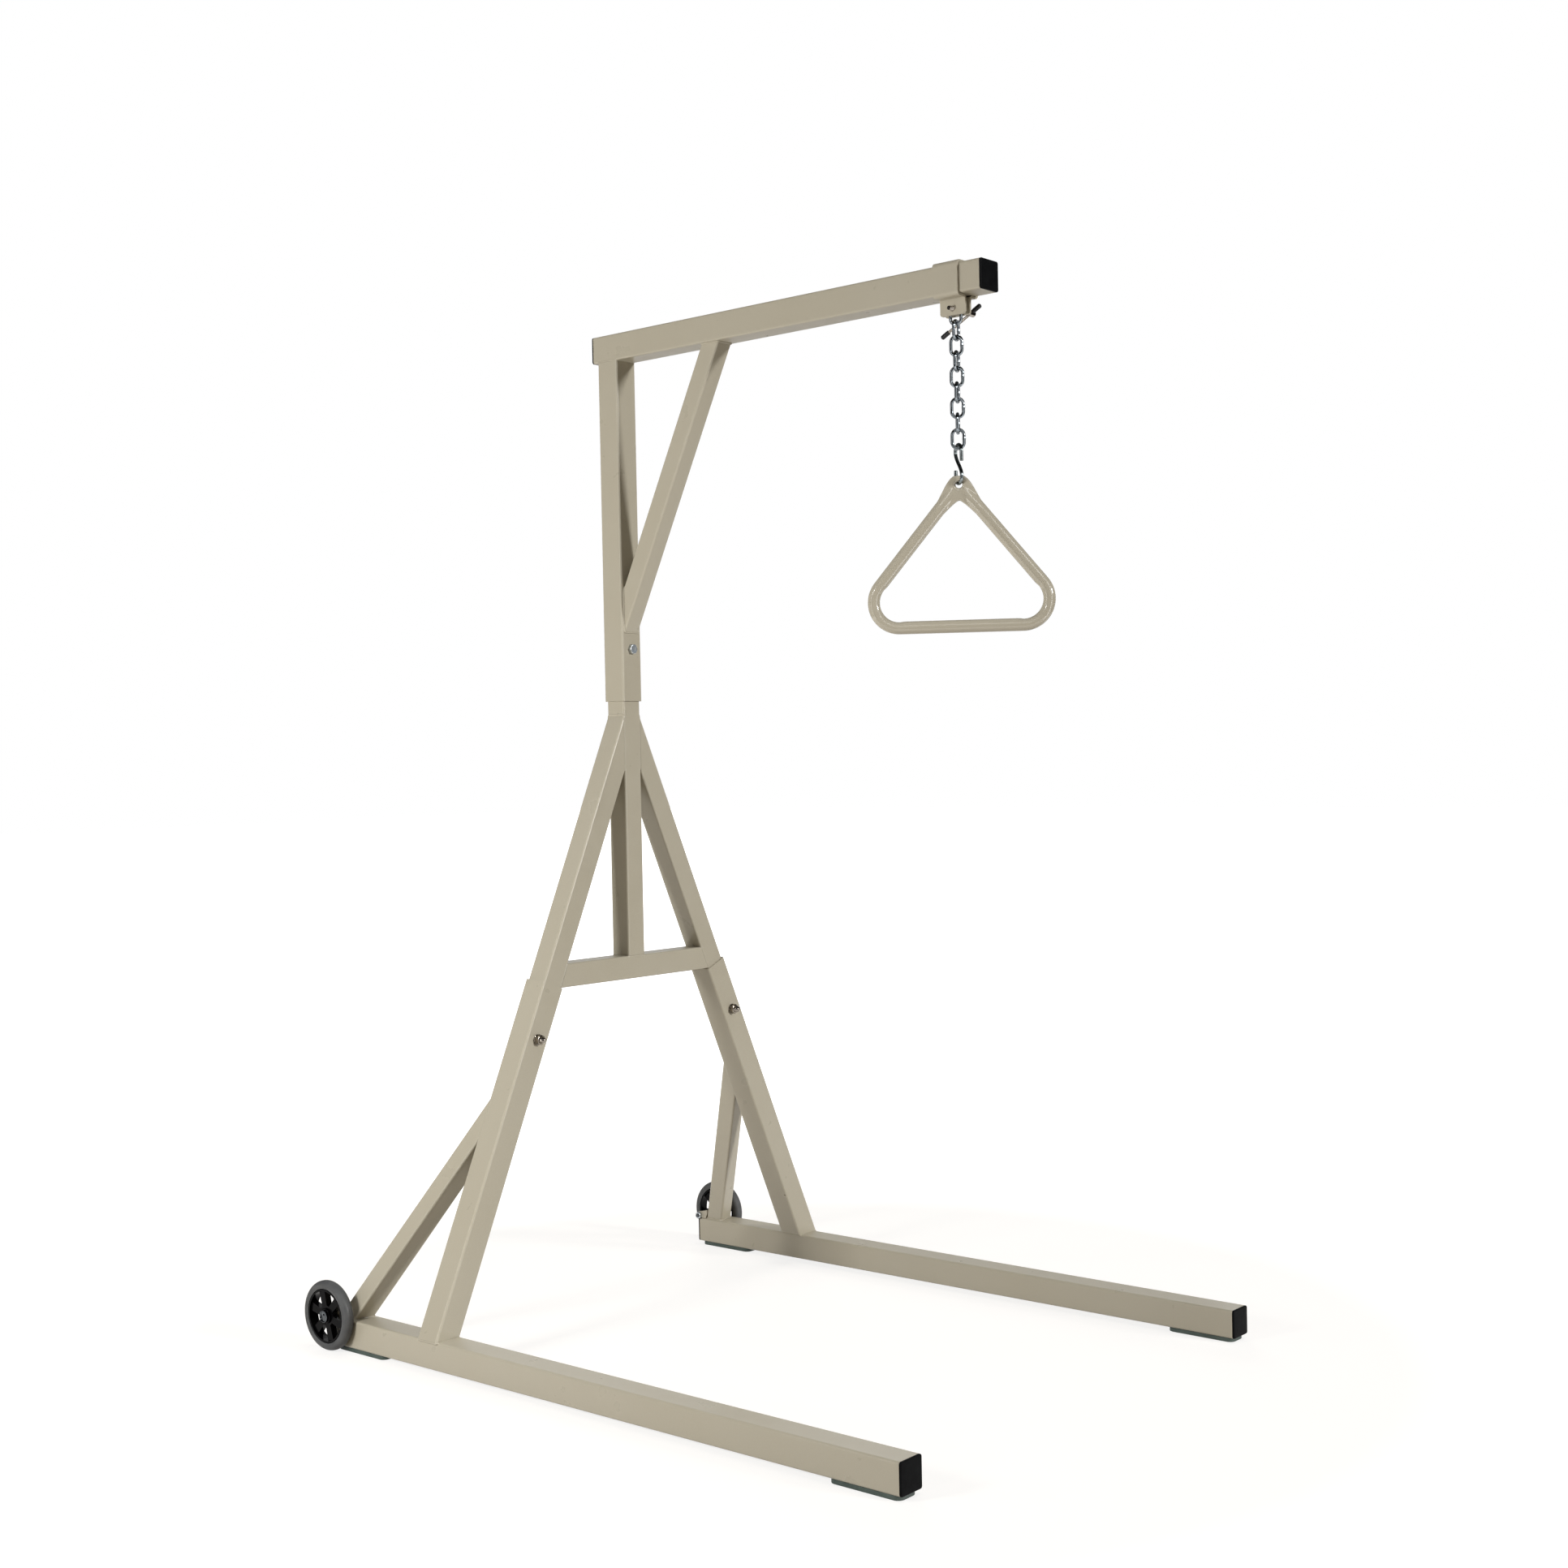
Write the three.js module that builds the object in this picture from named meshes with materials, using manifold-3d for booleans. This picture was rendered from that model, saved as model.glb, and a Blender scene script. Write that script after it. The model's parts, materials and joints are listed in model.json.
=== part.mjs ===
// Free-standing bed trapeze, in millimetres, +Z up.
// +X runs along the boom from the mast to the handle, and +Y is the left side.
// The origin is on the floor, in the middle of the whole object's box.
import * as THREE from "three";
import { mergeVertices } from "three/addons/utils/BufferGeometryUtils.js";
import Module from "manifold-3d";

const wasm = await Module();
wasm.setup();

// Square tubes
const outerTube = 50.8;
const tubeWall = 2.5;
const sleeveClearance = 0.675;
const innerTube = outerTube - 2 * tubeWall - 2 * sleeveClearance;
const braceTube = 38.1;
const tubeCorner = 4;
const seatGap = 0.3;

// Base: two floor rails on rubber pads, with end caps
const padHeight = 8;
const padLength = 132;
const padWidth = 44;
const padCorner = 12;
const padInset = 2;
const rearPadInset = 4;
const railLength = 1294;
const railTrack = 986.6;
const capThickness = 4;
const plugDepth = 22;
const plugClearance = 0.4;
const railTop = padHeight + outerTube;

// Leg sleeves and base braces, measured along the slanted leg from the rail's top
const legMeetHeight = 1145.6;
const sleeveLength = 654;
const innerLegInsertion = 200;
const legBoltBelowTop = 106;
const baseBraceReach = 228.8;
const baseBraceBelowTop = 206.7;
const baseBraceTop = sleeveLength - baseBraceBelowTop;
const ventRadius = 1.5;
const ventAlong = 112;
const ventInset = 3.5;

// Upper A-frame, mast and boom
const crossClearance = 1.5;
const mastBottom = 1179;
const postInsertion = 180;
const mastBoltRise = 100;
const boomTop = 1882;
const boomLength = 904.4;
const boomRear = 36.8;
const boomBraceReach = 260.4;
const boomBraceDrop = 477.9;
const boomBottom = boomTop - outerTube;

// Bolts through the sleeves and the mast
const boltRadius = 5;
const boltHoleClearance = 0.3;
const boltHeadAcross = 17;
const boltHeadHeight = 6.4;
const boltEdge = 0.6;
const washerRadius = 10;
const washerThickness = 2;
const nutAcross = 17;
const nutBodyHeight = 8;
const nutDomeHeight = 10;
const nutDomeRadius = 7;
const nutThreadDepth = 12;

// Wheels on axle bolts in brackets on the rails
const axleBehindBrace = 33.2;
const axleReach = baseBraceReach + axleBehindBrace;
const railBehindAxle = 0.8;
const railRear = axleReach + railBehindAxle;
const axleRise = 5.3;
const wheelLift = 0.6;
const axleRadius = 4;
const axleHoleClearance = 0.2;
const axleWasherRadius = 9;
const axleWasherThickness = 1.6;
const axleHeadRadius = 11;
const axleHeadThickness = 3.5;
const axleSocketRadius = 6;
const axleSocketDepth = 2;
const axleNutAcross = 13;
const axleNutHeight = 6.5;
const axleTail = 2.5;
const cheekThickness = 4;
const cheekNose = 8;
const cheekRise = 18;
const cheekLength = 22;
const webLength = 15;
const webRise = 11;
const hubWidth = 20;
const hubRimRadius = 49.2;
const hubRimWall = 4;
const hubRimWidth = 19;
const hubBossRadius = 14;
const hubWebWidth = 16;
const windowInner = 19;
const windowSpan = THREE.MathUtils.degToRad(40);
const windowPhase = THREE.MathUtils.degToRad(105);
const windowCount = 6;
const tyreClearance = 0.3;
const tyreWidth = 22;
const tyreSeatWidth = 18.6;
const tyreShoulder = 4.6;
const axleHeight = railTop + axleRise;
const wheelRadius = axleHeight - wheelLift;

// Clamp that slides on the boom, its T-screw and T-bar
const clampReach = 801;
const clampWidth = 51;
const clampThickness = 4;
const clampClearance = 0.4;
const clampBend = 4;
const earClearance = 0.8;
const earDrop = 32;
const earCorner = 5;
const screwDrop = 21;
const screwRadius = 4;
const screwClearance = 0.3;
const screwTail = 11;
const screwEdge = 0.6;
const headStandoff = 6.7;
const headRadius = 5.75;
const headLength = 15;
const rodRadius = 2.4;
const tipRadius = 4;
const tipLength = 17.5;
const tipWall = 3;
const barLength = 93.5;
const barAngle = THREE.MathUtils.degToRad(28.7);

// Chain, S-hook and handle
const linkWire = 2.8;
const linkInnerLength = 26.3;
const linkInnerWidth = 14.2;
const linkBend = linkInnerWidth / 2 + linkWire;
const linkCount = 9;
const firstLinkTurn = THREE.MathUtils.degToRad(8);
const linkTwist = THREE.MathUtils.degToRad(3.1);
const hookWire = 3;
const hookInner = 9;
const hookBend = hookInner + hookWire;
const hookSpan = 65.2;
const hookUpperTip = 16.7;
const hookLowerTip = 11.5;
const hookEase = 14;
const hookGap = 0.7;
const hookTurn = THREE.MathUtils.degToRad(-30);
const gripRadius = 10.4;
const gripCornerRadius = 43.7;
const gripCornerReach = 103.7;
const gripHeight = 240.2;
const gripTaper = 62;
const eyeClearance = 2.6;
const eyeRadius = hookWire + eyeClearance;
const eyeFlare = 5;
const eyeBelowApex = 2.3;
const plateThickness = 8;
const plateTop = 15.2;
const plateHalfTop = 6;
const plateHalfCrown = 14;
const plateMid = 4.8;
const plateHalfMid = 23;
const plateLow = 17.8;
const plateHalfLow = 30;
const plateFoot = 32;
const plateHalfFoot = 16;
const plateArch = 21;
const handleTurn = THREE.MathUtils.degToRad(32);

// The ears leave room for the first link, which hangs a little askew between them
const earHalfGap = linkBend * Math.sin(firstLinkTurn) + linkWire + earClearance;

// Counts of facets and steps
const cornerSteps = 2;
const roundSides = 12;
const wheelSides = 32;
const tyreSteps = 6;
const windowSteps = 4;
const wireSides = 8;
const gripSides = 10;
const bendSteps = 6;
const hexSides = 6;

// One overrun serves all cuts, and a cutting block is larger than any tube
const overrun = 5;
const cutBlock = 6 * outerTube;

// Finishes
const finishes = {
  paint: { color: 0xb4ac99, roughness: 0.45, metalness: 0.1 },
  castPaint: { color: 0xb5ad99, roughness: 0.3, metalness: 0.1 },
  cap: { color: 0x1b1b1c, roughness: 0.55, metalness: 0 },
  pad: { color: 0x4c524e, roughness: 0.85, metalness: 0 },
  tyre: { color: 0x5c5c5d, roughness: 0.75, metalness: 0 },
  hub: { color: 0x141415, roughness: 0.35, metalness: 0 },
  zinc: { color: 0x9aa0a3, roughness: 0.35, metalness: 1 },
  chrome: { color: 0xc8cacc, roughness: 0.12, metalness: 1 },
  tip: { color: 0x111111, roughness: 0.4, metalness: 0 },
};

const forward = new THREE.Vector3(1, 0, 0);
const leftward = new THREE.Vector3(0, 1, 0);
const upward = new THREE.Vector3(0, 0, 1);

// Turns that lay a piece's own Z axis along X or along Y
const alongX = new THREE.Quaternion().setFromRotationMatrix(
  new THREE.Matrix4().makeBasis(leftward, upward, forward));
const alongY = new THREE.Quaternion().setFromRotationMatrix(
  new THREE.Matrix4().makeBasis(upward, forward, leftward));

function toSolid(geometry) {
  const bare = geometry.clone();
  bare.deleteAttribute("normal");
  bare.deleteAttribute("uv");
  const merged = mergeVertices(bare);
  return new wasm.Manifold(new wasm.Mesh({
    numProp: 3,
    vertProperties: new Float32Array(merged.attributes.position.array),
    triVerts: new Uint32Array(merged.index.array),
  }));
}

function toGeometry(solid) {
  const mesh = solid.getMesh();
  const geometry = new THREE.BufferGeometry();
  geometry.setAttribute("position", new THREE.BufferAttribute(new Float32Array(mesh.vertProperties), 3));
  geometry.setIndex(new THREE.BufferAttribute(new Uint32Array(mesh.triVerts), 1));
  geometry.computeVertexNormals();
  return geometry;
}

function cut(geometry, ...tools) {
  return toGeometry(tools.reduce((solid, tool) => solid.subtract(toSolid(tool)), toSolid(geometry)));
}

function join(geometry, ...others) {
  return toGeometry(others.reduce((solid, other) => solid.add(toSolid(other)), toSolid(geometry)));
}

function keepInside(geometry, other) {
  return toGeometry(toSolid(geometry).intersect(toSolid(other)));
}

// A block whose face passes through the point, on the side that the normal points to
function blockBeyond(point, normal) {
  const block = new THREE.BoxGeometry(cutBlock, cutBlock, cutBlock);
  block.translate(0, 0, cutBlock / 2);
  block.applyQuaternion(new THREE.Quaternion().setFromUnitVectors(upward, normal));
  return block.translate(point.x, point.y, point.z);
}

// Cuts a piece, held in the given frame, by planes that are stated outside that frame
function trim(geometry, frame, planes) {
  const inverse = frame.clone().invert();
  const blocks = planes.map(({ point, normal }) => blockBeyond(point, normal).applyMatrix4(inverse));
  return cut(geometry, ...blocks);
}

function roundedSquare(side, radius) {
  const half = side / 2;
  const inner = half - radius;
  const shape = new THREE.Shape();
  shape.absarc(inner, inner, radius, 0, Math.PI / 2);
  shape.absarc(-inner, inner, radius, Math.PI / 2, Math.PI);
  shape.absarc(-inner, -inner, radius, Math.PI, 1.5 * Math.PI);
  shape.absarc(inner, -inner, radius, 1.5 * Math.PI, 2 * Math.PI);
  return shape;
}

function roundedBar(length, width, radius) {
  const x = length / 2 - radius;
  const y = width / 2 - radius;
  const shape = new THREE.Shape();
  shape.absarc(x, y, radius, 0, Math.PI / 2);
  shape.absarc(-x, y, radius, Math.PI / 2, Math.PI);
  shape.absarc(-x, -y, radius, Math.PI, 1.5 * Math.PI);
  shape.absarc(x, -y, radius, 1.5 * Math.PI, 2 * Math.PI);
  return shape;
}

// Square tube along Z, from start to end
function squareTube(side, start, end) {
  const shape = roundedSquare(side, tubeCorner);
  shape.holes.push(roundedSquare(side - 2 * tubeWall, tubeCorner - tubeWall));
  const options = { depth: end - start, bevelEnabled: false, curveSegments: cornerSteps };
  return new THREE.ExtrudeGeometry(shape, options).translate(0, 0, start);
}

// Round bar along Z, from start to end
function cylinder(radius, start, end, sides = roundSides) {
  const geometry = new THREE.CylinderGeometry(radius, radius, end - start, sides);
  geometry.rotateX(Math.PI / 2);
  return geometry.translate(0, 0, (start + end) / 2);
}

// Solid of revolution about Z, from points of radius and height
function turned(points, sides = roundSides) {
  const profile = points.map(([radius, height]) => new THREE.Vector2(radius, height));
  return new THREE.LatheGeometry(profile, sides).rotateX(Math.PI / 2);
}

function ring(outer, inner, start, end, sides = roundSides) {
  return turned([[inner, start], [outer, start], [outer, end], [inner, end], [inner, start]], sides);
}

// Hexagonal bar with its outer corners turned off, along Z
function hexagon(across, start, end) {
  const corner = across / Math.sqrt(3);
  const prism = cylinder(corner, start, end, hexSides);
  const mid = across / 2;
  const cone = turned([
    [0, start - overrun],
    [corner + overrun, start - overrun],
    [corner + overrun, end - boltEdge],
    [mid, end],
    [0, end],
  ]);
  return keepInside(prism, cone);
}

function mesh(name, geometry, finish) {
  const piece = new THREE.Mesh(geometry, new THREE.MeshStandardMaterial(finishes[finish]));
  piece.name = name;
  return piece;
}

function placed(piece, x, y, z) {
  piece.position.set(x, y, z);
  return piece;
}

function turnedTo(piece, quaternion) {
  piece.quaternion.copy(quaternion);
  return piece;
}

// End cap: a plate over the tube's end, and a hollow plug inside it, pointing along +Z
function endCap(name, side) {
  const options = { depth: capThickness - seatGap, bevelEnabled: false, curveSegments: cornerSteps };
  const plate = new THREE.ExtrudeGeometry(roundedSquare(side, tubeCorner), options).translate(0, 0, seatGap);
  const plugSide = side - 2 * tubeWall - 2 * plugClearance;
  const plug = squareTube(plugSide, -plugDepth, capThickness / 2);
  return mesh(name, join(plate, plug), "cap");
}

// Hexagon bolt along Z, with its head below zero
function hexBolt(name, length) {
  const head = hexagon(boltHeadAcross, 0, boltHeadHeight).rotateX(Math.PI).translate(0, 0, -seatGap);
  const shank = cylinder(boltRadius, -seatGap - boltHeadHeight / 2, length);
  return mesh(name, join(head, shank), "zinc");
}

// Domed nut along Z, seated at zero, with a blind threaded hole
function acornNut(name) {
  const body = hexagon(nutAcross, 0, nutBodyHeight);
  const domePoints = [[0, nutBodyHeight / 2], [nutDomeRadius, nutBodyHeight / 2]];
  for (let step = 0; step <= bendSteps / 2; step += 1) {
    const angle = (Math.PI / 2) * (step / (bendSteps / 2));
    const height = nutBodyHeight + nutDomeHeight * Math.sin(angle);
    domePoints.push([nutDomeRadius * Math.cos(angle), height]);
  }
  domePoints[domePoints.length - 1][0] = 0;
  const hole = cylinder(boltRadius + seatGap, -overrun, nutThreadDepth);
  return mesh(name, cut(join(body, turned(domePoints)), hole), "zinc");
}

function washer(name, outer, inner, thickness) {
  return mesh(name, ring(outer, inner, 0, thickness), "zinc");
}

// A rail on its two pads, with its caps
function rail(sideName, y) {
  const group = new THREE.Group();
  const centre = padHeight + outerTube / 2;
  const front = railLength - railRear;
  const tube = turnedTo(mesh(`${sideName}_rail`, squareTube(outerTube, 0, railLength), "paint"), alongX);
  const frontCap = turnedTo(endCap(`${sideName}_rail_front_cap`, outerTube), alongX);
  const rearCap = endCap(`${sideName}_rail_rear_cap`, outerTube);
  turnedTo(rearCap, alongX).rotateX(Math.PI);
  group.add(placed(tube, -railRear, y, centre));
  group.add(placed(frontCap, front, y, centre));
  group.add(placed(rearCap, -railRear, y, centre));
  const frontPadX = front - padInset - padLength / 2;
  const rearPadX = rearPadInset - railRear + padLength / 2;
  group.add(placed(floorPad(`${sideName}_front_pad`), frontPadX, y, 0));
  group.add(placed(floorPad(`${sideName}_rear_pad`), rearPadX, y, 0));
  return group;
}

function floorPad(name) {
  const outline = roundedBar(padLength, padWidth, padCorner);
  const options = { depth: padHeight - seatGap, bevelEnabled: false, curveSegments: 2 * cornerSteps };
  return mesh(name, new THREE.ExtrudeGeometry(outline, options), "pad");
}

// Leg frame: its Z runs up the slanted leg from the rail's top, its X runs forward
function legFrame(side) {
  const slant = Math.atan2(railTrack / 2, legMeetHeight - railTop);
  const frame = new THREE.Group();
  frame.position.set(0, (side * railTrack) / 2, railTop);
  frame.rotation.x = side * slant;
  frame.updateMatrix();
  return frame;
}

// Base brace frame, inside the leg frame: its Z runs up the brace
function braceFrame() {
  const frame = new THREE.Group();
  frame.position.set(-baseBraceReach, 0, 0);
  frame.rotation.y = Math.atan2(baseBraceReach, baseBraceTop);
  frame.updateMatrix();
  return frame;
}

function inFrame(frame, x, y, z) {
  return new THREE.Vector3(x, y, z).applyMatrix4(frame);
}

function directionIn(frame, x, y, z) {
  return new THREE.Vector3(x, y, z).transformDirection(frame);
}

// Drill along X through a leg, for the bolt that holds sleeve and inner leg together
function legBoltDrill() {
  const drill = cylinder(boltRadius + boltHoleClearance, -outerTube, outerTube);
  return drill.applyQuaternion(alongX).translate(0, 0, sleeveLength - legBoltBelowTop);
}

// Drill for the small vent hole in a sleeve's inner face, beside its front corner
function ventDrill(side) {
  const drill = cylinder(ventRadius, outerTube / 2 - tubeWall - overrun, outerTube, wireSides);
  drill.applyQuaternion(alongY);
  if (side > 0) {
    drill.rotateZ(Math.PI);
  }
  return drill.translate(outerTube / 2 - ventInset, 0, ventAlong);
}

// Leg sleeve, standing on the rail, with the bolt's hole and a vent hole
function legSleeve(name, side, frame) {
  const railFace = {
    point: new THREE.Vector3(0, (side * railTrack) / 2, railTop + seatGap),
    normal: upward.clone().negate(),
  };
  const tube = trim(squareTube(outerTube, -outerTube, sleeveLength), frame, [railFace]);
  return mesh(name, cut(tube, legBoltDrill(), ventDrill(side)), "paint");
}

// Inner leg, from inside the sleeve to the side of the centre post
function innerLeg(name, side, frame) {
  const start = sleeveLength - innerLegInsertion;
  const end = (legMeetHeight - railTop) / Math.cos(frame.rotation.x) + outerTube;
  const post = {
    point: new THREE.Vector3(0, side * (innerTube / 2 + seatGap), legMeetHeight),
    normal: new THREE.Vector3(0, -side, 0),
  };
  const tube = trim(squareTube(innerTube, start, end), frame.matrix, [post]);
  return mesh(name, cut(tube, legBoltDrill()), "paint");
}

// Base brace, from the rail's top to the rear face of the leg sleeve
function baseBrace(name, side, leg, brace) {
  const frame = leg.matrix.clone().multiply(brace.matrix);
  const railFace = {
    point: new THREE.Vector3(-baseBraceReach, (side * railTrack) / 2, railTop + seatGap),
    normal: upward.clone().negate(),
  };
  const legFace = {
    point: inFrame(leg.matrix, -outerTube / 2 - seatGap, 0, baseBraceTop),
    normal: directionIn(leg.matrix, 1, 0, 0),
  };
  const length = Math.hypot(baseBraceReach, baseBraceTop);
  const tube = squareTube(braceTube, -outerTube, length + outerTube / 2);
  return mesh(name, trim(tube, frame, [railFace, legFace]), "paint");
}

// Bolt, washer and acorn nut that hold a leg sleeve to its inner leg
function legFasteners(sideName) {
  const group = new THREE.Group();
  const along = sleeveLength - legBoltBelowTop;
  const rear = -outerTube / 2;
  const front = outerTube / 2;
  const length = outerTube + washerThickness + nutThreadDepth - 2 * seatGap;
  const bolt = turnedTo(hexBolt(`${sideName}_leg_bolt`, length), alongX);
  const bore = boltRadius + boltHoleClearance;
  const disc = washer(`${sideName}_leg_washer`, washerRadius, bore, washerThickness);
  const nut = turnedTo(acornNut(`${sideName}_leg_nut`), alongX);
  group.add(placed(bolt, rear, 0, along));
  group.add(placed(turnedTo(disc, alongX), front + seatGap, 0, along));
  group.add(placed(nut, front + washerThickness + 2 * seatGap, 0, along));
  return group;
}

// Bracket that holds the axle bolt: two cheeks and a web behind the base brace
function axleBracket(name, side, leg, brace) {
  const y = (side * railTrack) / 2;
  const bottom = railTop + seatGap;
  const front = cheekLength - axleReach;
  const outline = new THREE.Shape();
  outline.moveTo(front, bottom);
  outline.lineTo(front, bottom + cheekRise);
  outline.absarc(-axleReach, axleHeight, cheekNose, Math.PI / 2, Math.PI, false);
  outline.lineTo(-axleReach - cheekNose, bottom);
  const options = { depth: cheekThickness, bevelEnabled: false, curveSegments: bendSteps };
  const stand = new THREE.Matrix4().makeBasis(forward, upward, new THREE.Vector3(0, -1, 0));
  const cheek = () => new THREE.ExtrudeGeometry(outline, options).applyMatrix4(stand);
  const leftCheek = cheek().translate(0, y + outerTube / 2, 0);
  const rightCheek = cheek().translate(0, y - outerTube / 2 + cheekThickness, 0);
  const web = new THREE.BoxGeometry(webLength, outerTube - cheekThickness, webRise);
  web.translate(front - webLength / 2, y, bottom + webRise / 2);
  const braceWorld = leg.matrix.clone().multiply(brace.matrix);
  const rearFace = {
    point: inFrame(braceWorld, -braceTube / 2 - seatGap, 0, 0),
    normal: directionIn(braceWorld, 1, 0, 0),
  };
  const body = trim(join(leftCheek, rightCheek, web), new THREE.Matrix4(), [rearFace]);
  const bore = cylinder(axleRadius + axleHoleClearance, -outerTube, outerTube);
  bore.applyQuaternion(alongY).translate(-axleReach, y, axleHeight);
  return mesh(name, cut(body, bore), "paint");
}

// Axle bolt with a round socket head outside the hub, and a nut inside the bracket, along +Z outward
function axleBolt(name) {
  const start = -outerTube - axleNutHeight - axleTail - seatGap;
  const seat = axleWasherThickness + hubWidth + 3 * seatGap;
  const body = turned([
    [0, start],
    [axleRadius - screwEdge, start],
    [axleRadius, start + screwEdge],
    [axleRadius, seat],
    [axleHeadRadius, seat],
    [axleHeadRadius, seat + axleHeadThickness - screwEdge],
    [axleHeadRadius - screwEdge, seat + axleHeadThickness],
    [0, seat + axleHeadThickness],
  ]);
  const top = seat + axleHeadThickness;
  const socket = cylinder(axleSocketRadius, top - axleSocketDepth, top + overrun, hexSides);
  return mesh(name, cut(body, socket), "zinc");
}

function axleNut(name) {
  const body = hexagon(axleNutAcross, 0, axleNutHeight);
  const hole = cylinder(axleRadius + axleHoleClearance, -overrun, axleNutHeight + overrun);
  return mesh(name, cut(body, hole), "zinc");
}

// Tyre and hub are turned about Z, from zero at the face nearest the rail
function tyre(name) {
  const seat = hubRimRadius + tyreClearance;
  const middle = hubWidth / 2;
  const crown = wheelRadius - seat - tyreShoulder;
  const points = [[seat, middle - tyreSeatWidth / 2]];
  for (let step = 0; step <= tyreSteps; step += 1) {
    const angle = (Math.PI * step) / tyreSteps;
    const radius = seat + tyreShoulder + crown * Math.sin(angle);
    points.push([radius, middle - (tyreWidth / 2) * Math.cos(angle)]);
  }
  points.push([seat, middle + tyreSeatWidth / 2]);
  points.push(points[0]);
  return mesh(name, turned(points, wheelSides), "tyre");
}

// Cutter for one window of the hub, between two spokes
function hubWindow(centre) {
  const half = windowSpan / 2;
  const shape = new THREE.Shape();
  shape.absarc(0, 0, hubRimRadius - hubRimWall, centre - half, centre + half, false);
  shape.absarc(0, 0, windowInner, centre + half / 2, centre - half / 2, true);
  const options = { depth: hubWidth, bevelEnabled: false, curveSegments: windowSteps };
  return new THREE.ExtrudeGeometry(shape, options);
}

function hub(name) {
  const middle = hubWidth / 2;
  const web = cylinder(hubRimRadius - hubRimWall / 2, middle - hubWebWidth / 2, middle + hubWebWidth / 2,
    wheelSides);
  const windows = [];
  for (let index = 0; index < windowCount; index += 1) {
    windows.push(hubWindow(windowPhase + (2 * Math.PI * index) / windowCount));
  }
  const rimStart = middle - hubRimWidth / 2;
  const rim = ring(hubRimRadius, hubRimRadius - hubRimWall, rimStart, rimStart + hubRimWidth, wheelSides);
  const boss = cylinder(hubBossRadius, 0, hubWidth);
  const bore = cylinder(axleRadius + axleHoleClearance, -overrun, hubWidth + overrun);
  return mesh(name, cut(join(cut(web, ...windows), rim, boss), bore), "hub");
}

// Wheel, axle bolt, washer and nut, along +Z outward from the rail's side
function wheelAssembly(sideName) {
  const group = new THREE.Group();
  const hubSeat = axleWasherThickness + 2 * seatGap;
  const bore = axleRadius + axleHoleClearance;
  const disc = washer(`${sideName}_axle_washer`, axleWasherRadius, bore, axleWasherThickness);
  const nut = axleNut(`${sideName}_axle_nut`);
  nut.rotateX(Math.PI);
  group.add(axleBolt(`${sideName}_axle_bolt`));
  group.add(placed(disc, 0, 0, seatGap));
  group.add(placed(nut, 0, 0, -outerTube - seatGap));
  group.add(placed(tyre(`${sideName}_tyre`), 0, 0, hubSeat));
  group.add(placed(hub(`${sideName}_hub`), 0, 0, hubSeat));
  return group;
}

// One side of the base: rail, sleeve, brace, bracket, wheel, and the inner leg of the A-frame
function baseSide(sideName, side) {
  const group = new THREE.Group();
  const railY = (side * railTrack) / 2;
  group.add(rail(sideName, railY));
  const leg = legFrame(side);
  const brace = braceFrame();
  leg.add(legSleeve(`${sideName}_leg_sleeve`, side, leg.matrix));
  leg.add(innerLeg(`${sideName}_inner_leg`, side, leg));
  leg.add(legFasteners(sideName));
  brace.add(baseBrace(`${sideName}_base_brace`, side, leg, brace));
  leg.add(brace);
  group.add(leg);
  group.add(axleBracket(`${sideName}_axle_bracket`, side, leg, brace));
  const wheel = wheelAssembly(sideName);
  wheel.quaternion.copy(alongY);
  if (side < 0) {
    wheel.rotateX(Math.PI);
  }
  group.add(placed(wheel, -axleReach, railY + (side * outerTube) / 2, axleHeight));
  return group;
}

// Height of the cross tube's middle: it sits just above the inner corners of the sleeves
function crossTubeHeight() {
  const leg = legFrame(1);
  const corner = inFrame(leg.matrix, 0, -outerTube / 2, sleeveLength);
  return corner.z + crossClearance + innerTube / 2;
}

// Cross tube between the inner faces of the inner legs
function crossTube() {
  const height = crossTubeHeight();
  const reach = Math.abs(inFrame(legFrame(1).matrix, 0, 0, sleeveLength).y);
  const planes = [1, -1].map((side) => {
    const leg = legFrame(side);
    return {
      point: inFrame(leg.matrix, 0, -side * (innerTube / 2 + seatGap), sleeveLength),
      normal: directionIn(leg.matrix, 0, side, 0),
    };
  });
  const frame = new THREE.Matrix4().compose(
    new THREE.Vector3(0, 0, height), alongY, new THREE.Vector3(1, 1, 1));
  const tube = trim(squareTube(innerTube, -reach, reach), frame, planes);
  return placed(turnedTo(mesh("cross_tube", tube, "paint"), alongY), 0, 0, height);
}

// Drill along X through the mast and the post inside it
function mastBoltDrill() {
  const drill = cylinder(boltRadius + boltHoleClearance, -outerTube, outerTube);
  return drill.applyQuaternion(alongX).translate(0, 0, mastBottom + mastBoltRise);
}

// Centre post from the cross tube up into the mast
function centrePost() {
  const start = crossTubeHeight() + innerTube / 2 + seatGap;
  const tube = squareTube(innerTube, start, mastBottom + postInsertion);
  return mesh("centre_post", cut(tube, mastBoltDrill()), "paint");
}

function mast() {
  const tube = squareTube(outerTube, mastBottom, boomBottom - seatGap);
  return mesh("mast", cut(tube, mastBoltDrill()), "paint");
}

function mastFasteners() {
  const group = new THREE.Group();
  group.position.set(outerTube / 2, 0, mastBottom + mastBoltRise);
  group.quaternion.copy(alongX);
  group.rotateX(Math.PI);
  group.add(hexBolt("mast_bolt", outerTube + nutThreadDepth - seatGap));
  group.add(placed(acornNut("mast_nut"), 0, 0, outerTube + seatGap));
  return group;
}

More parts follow.
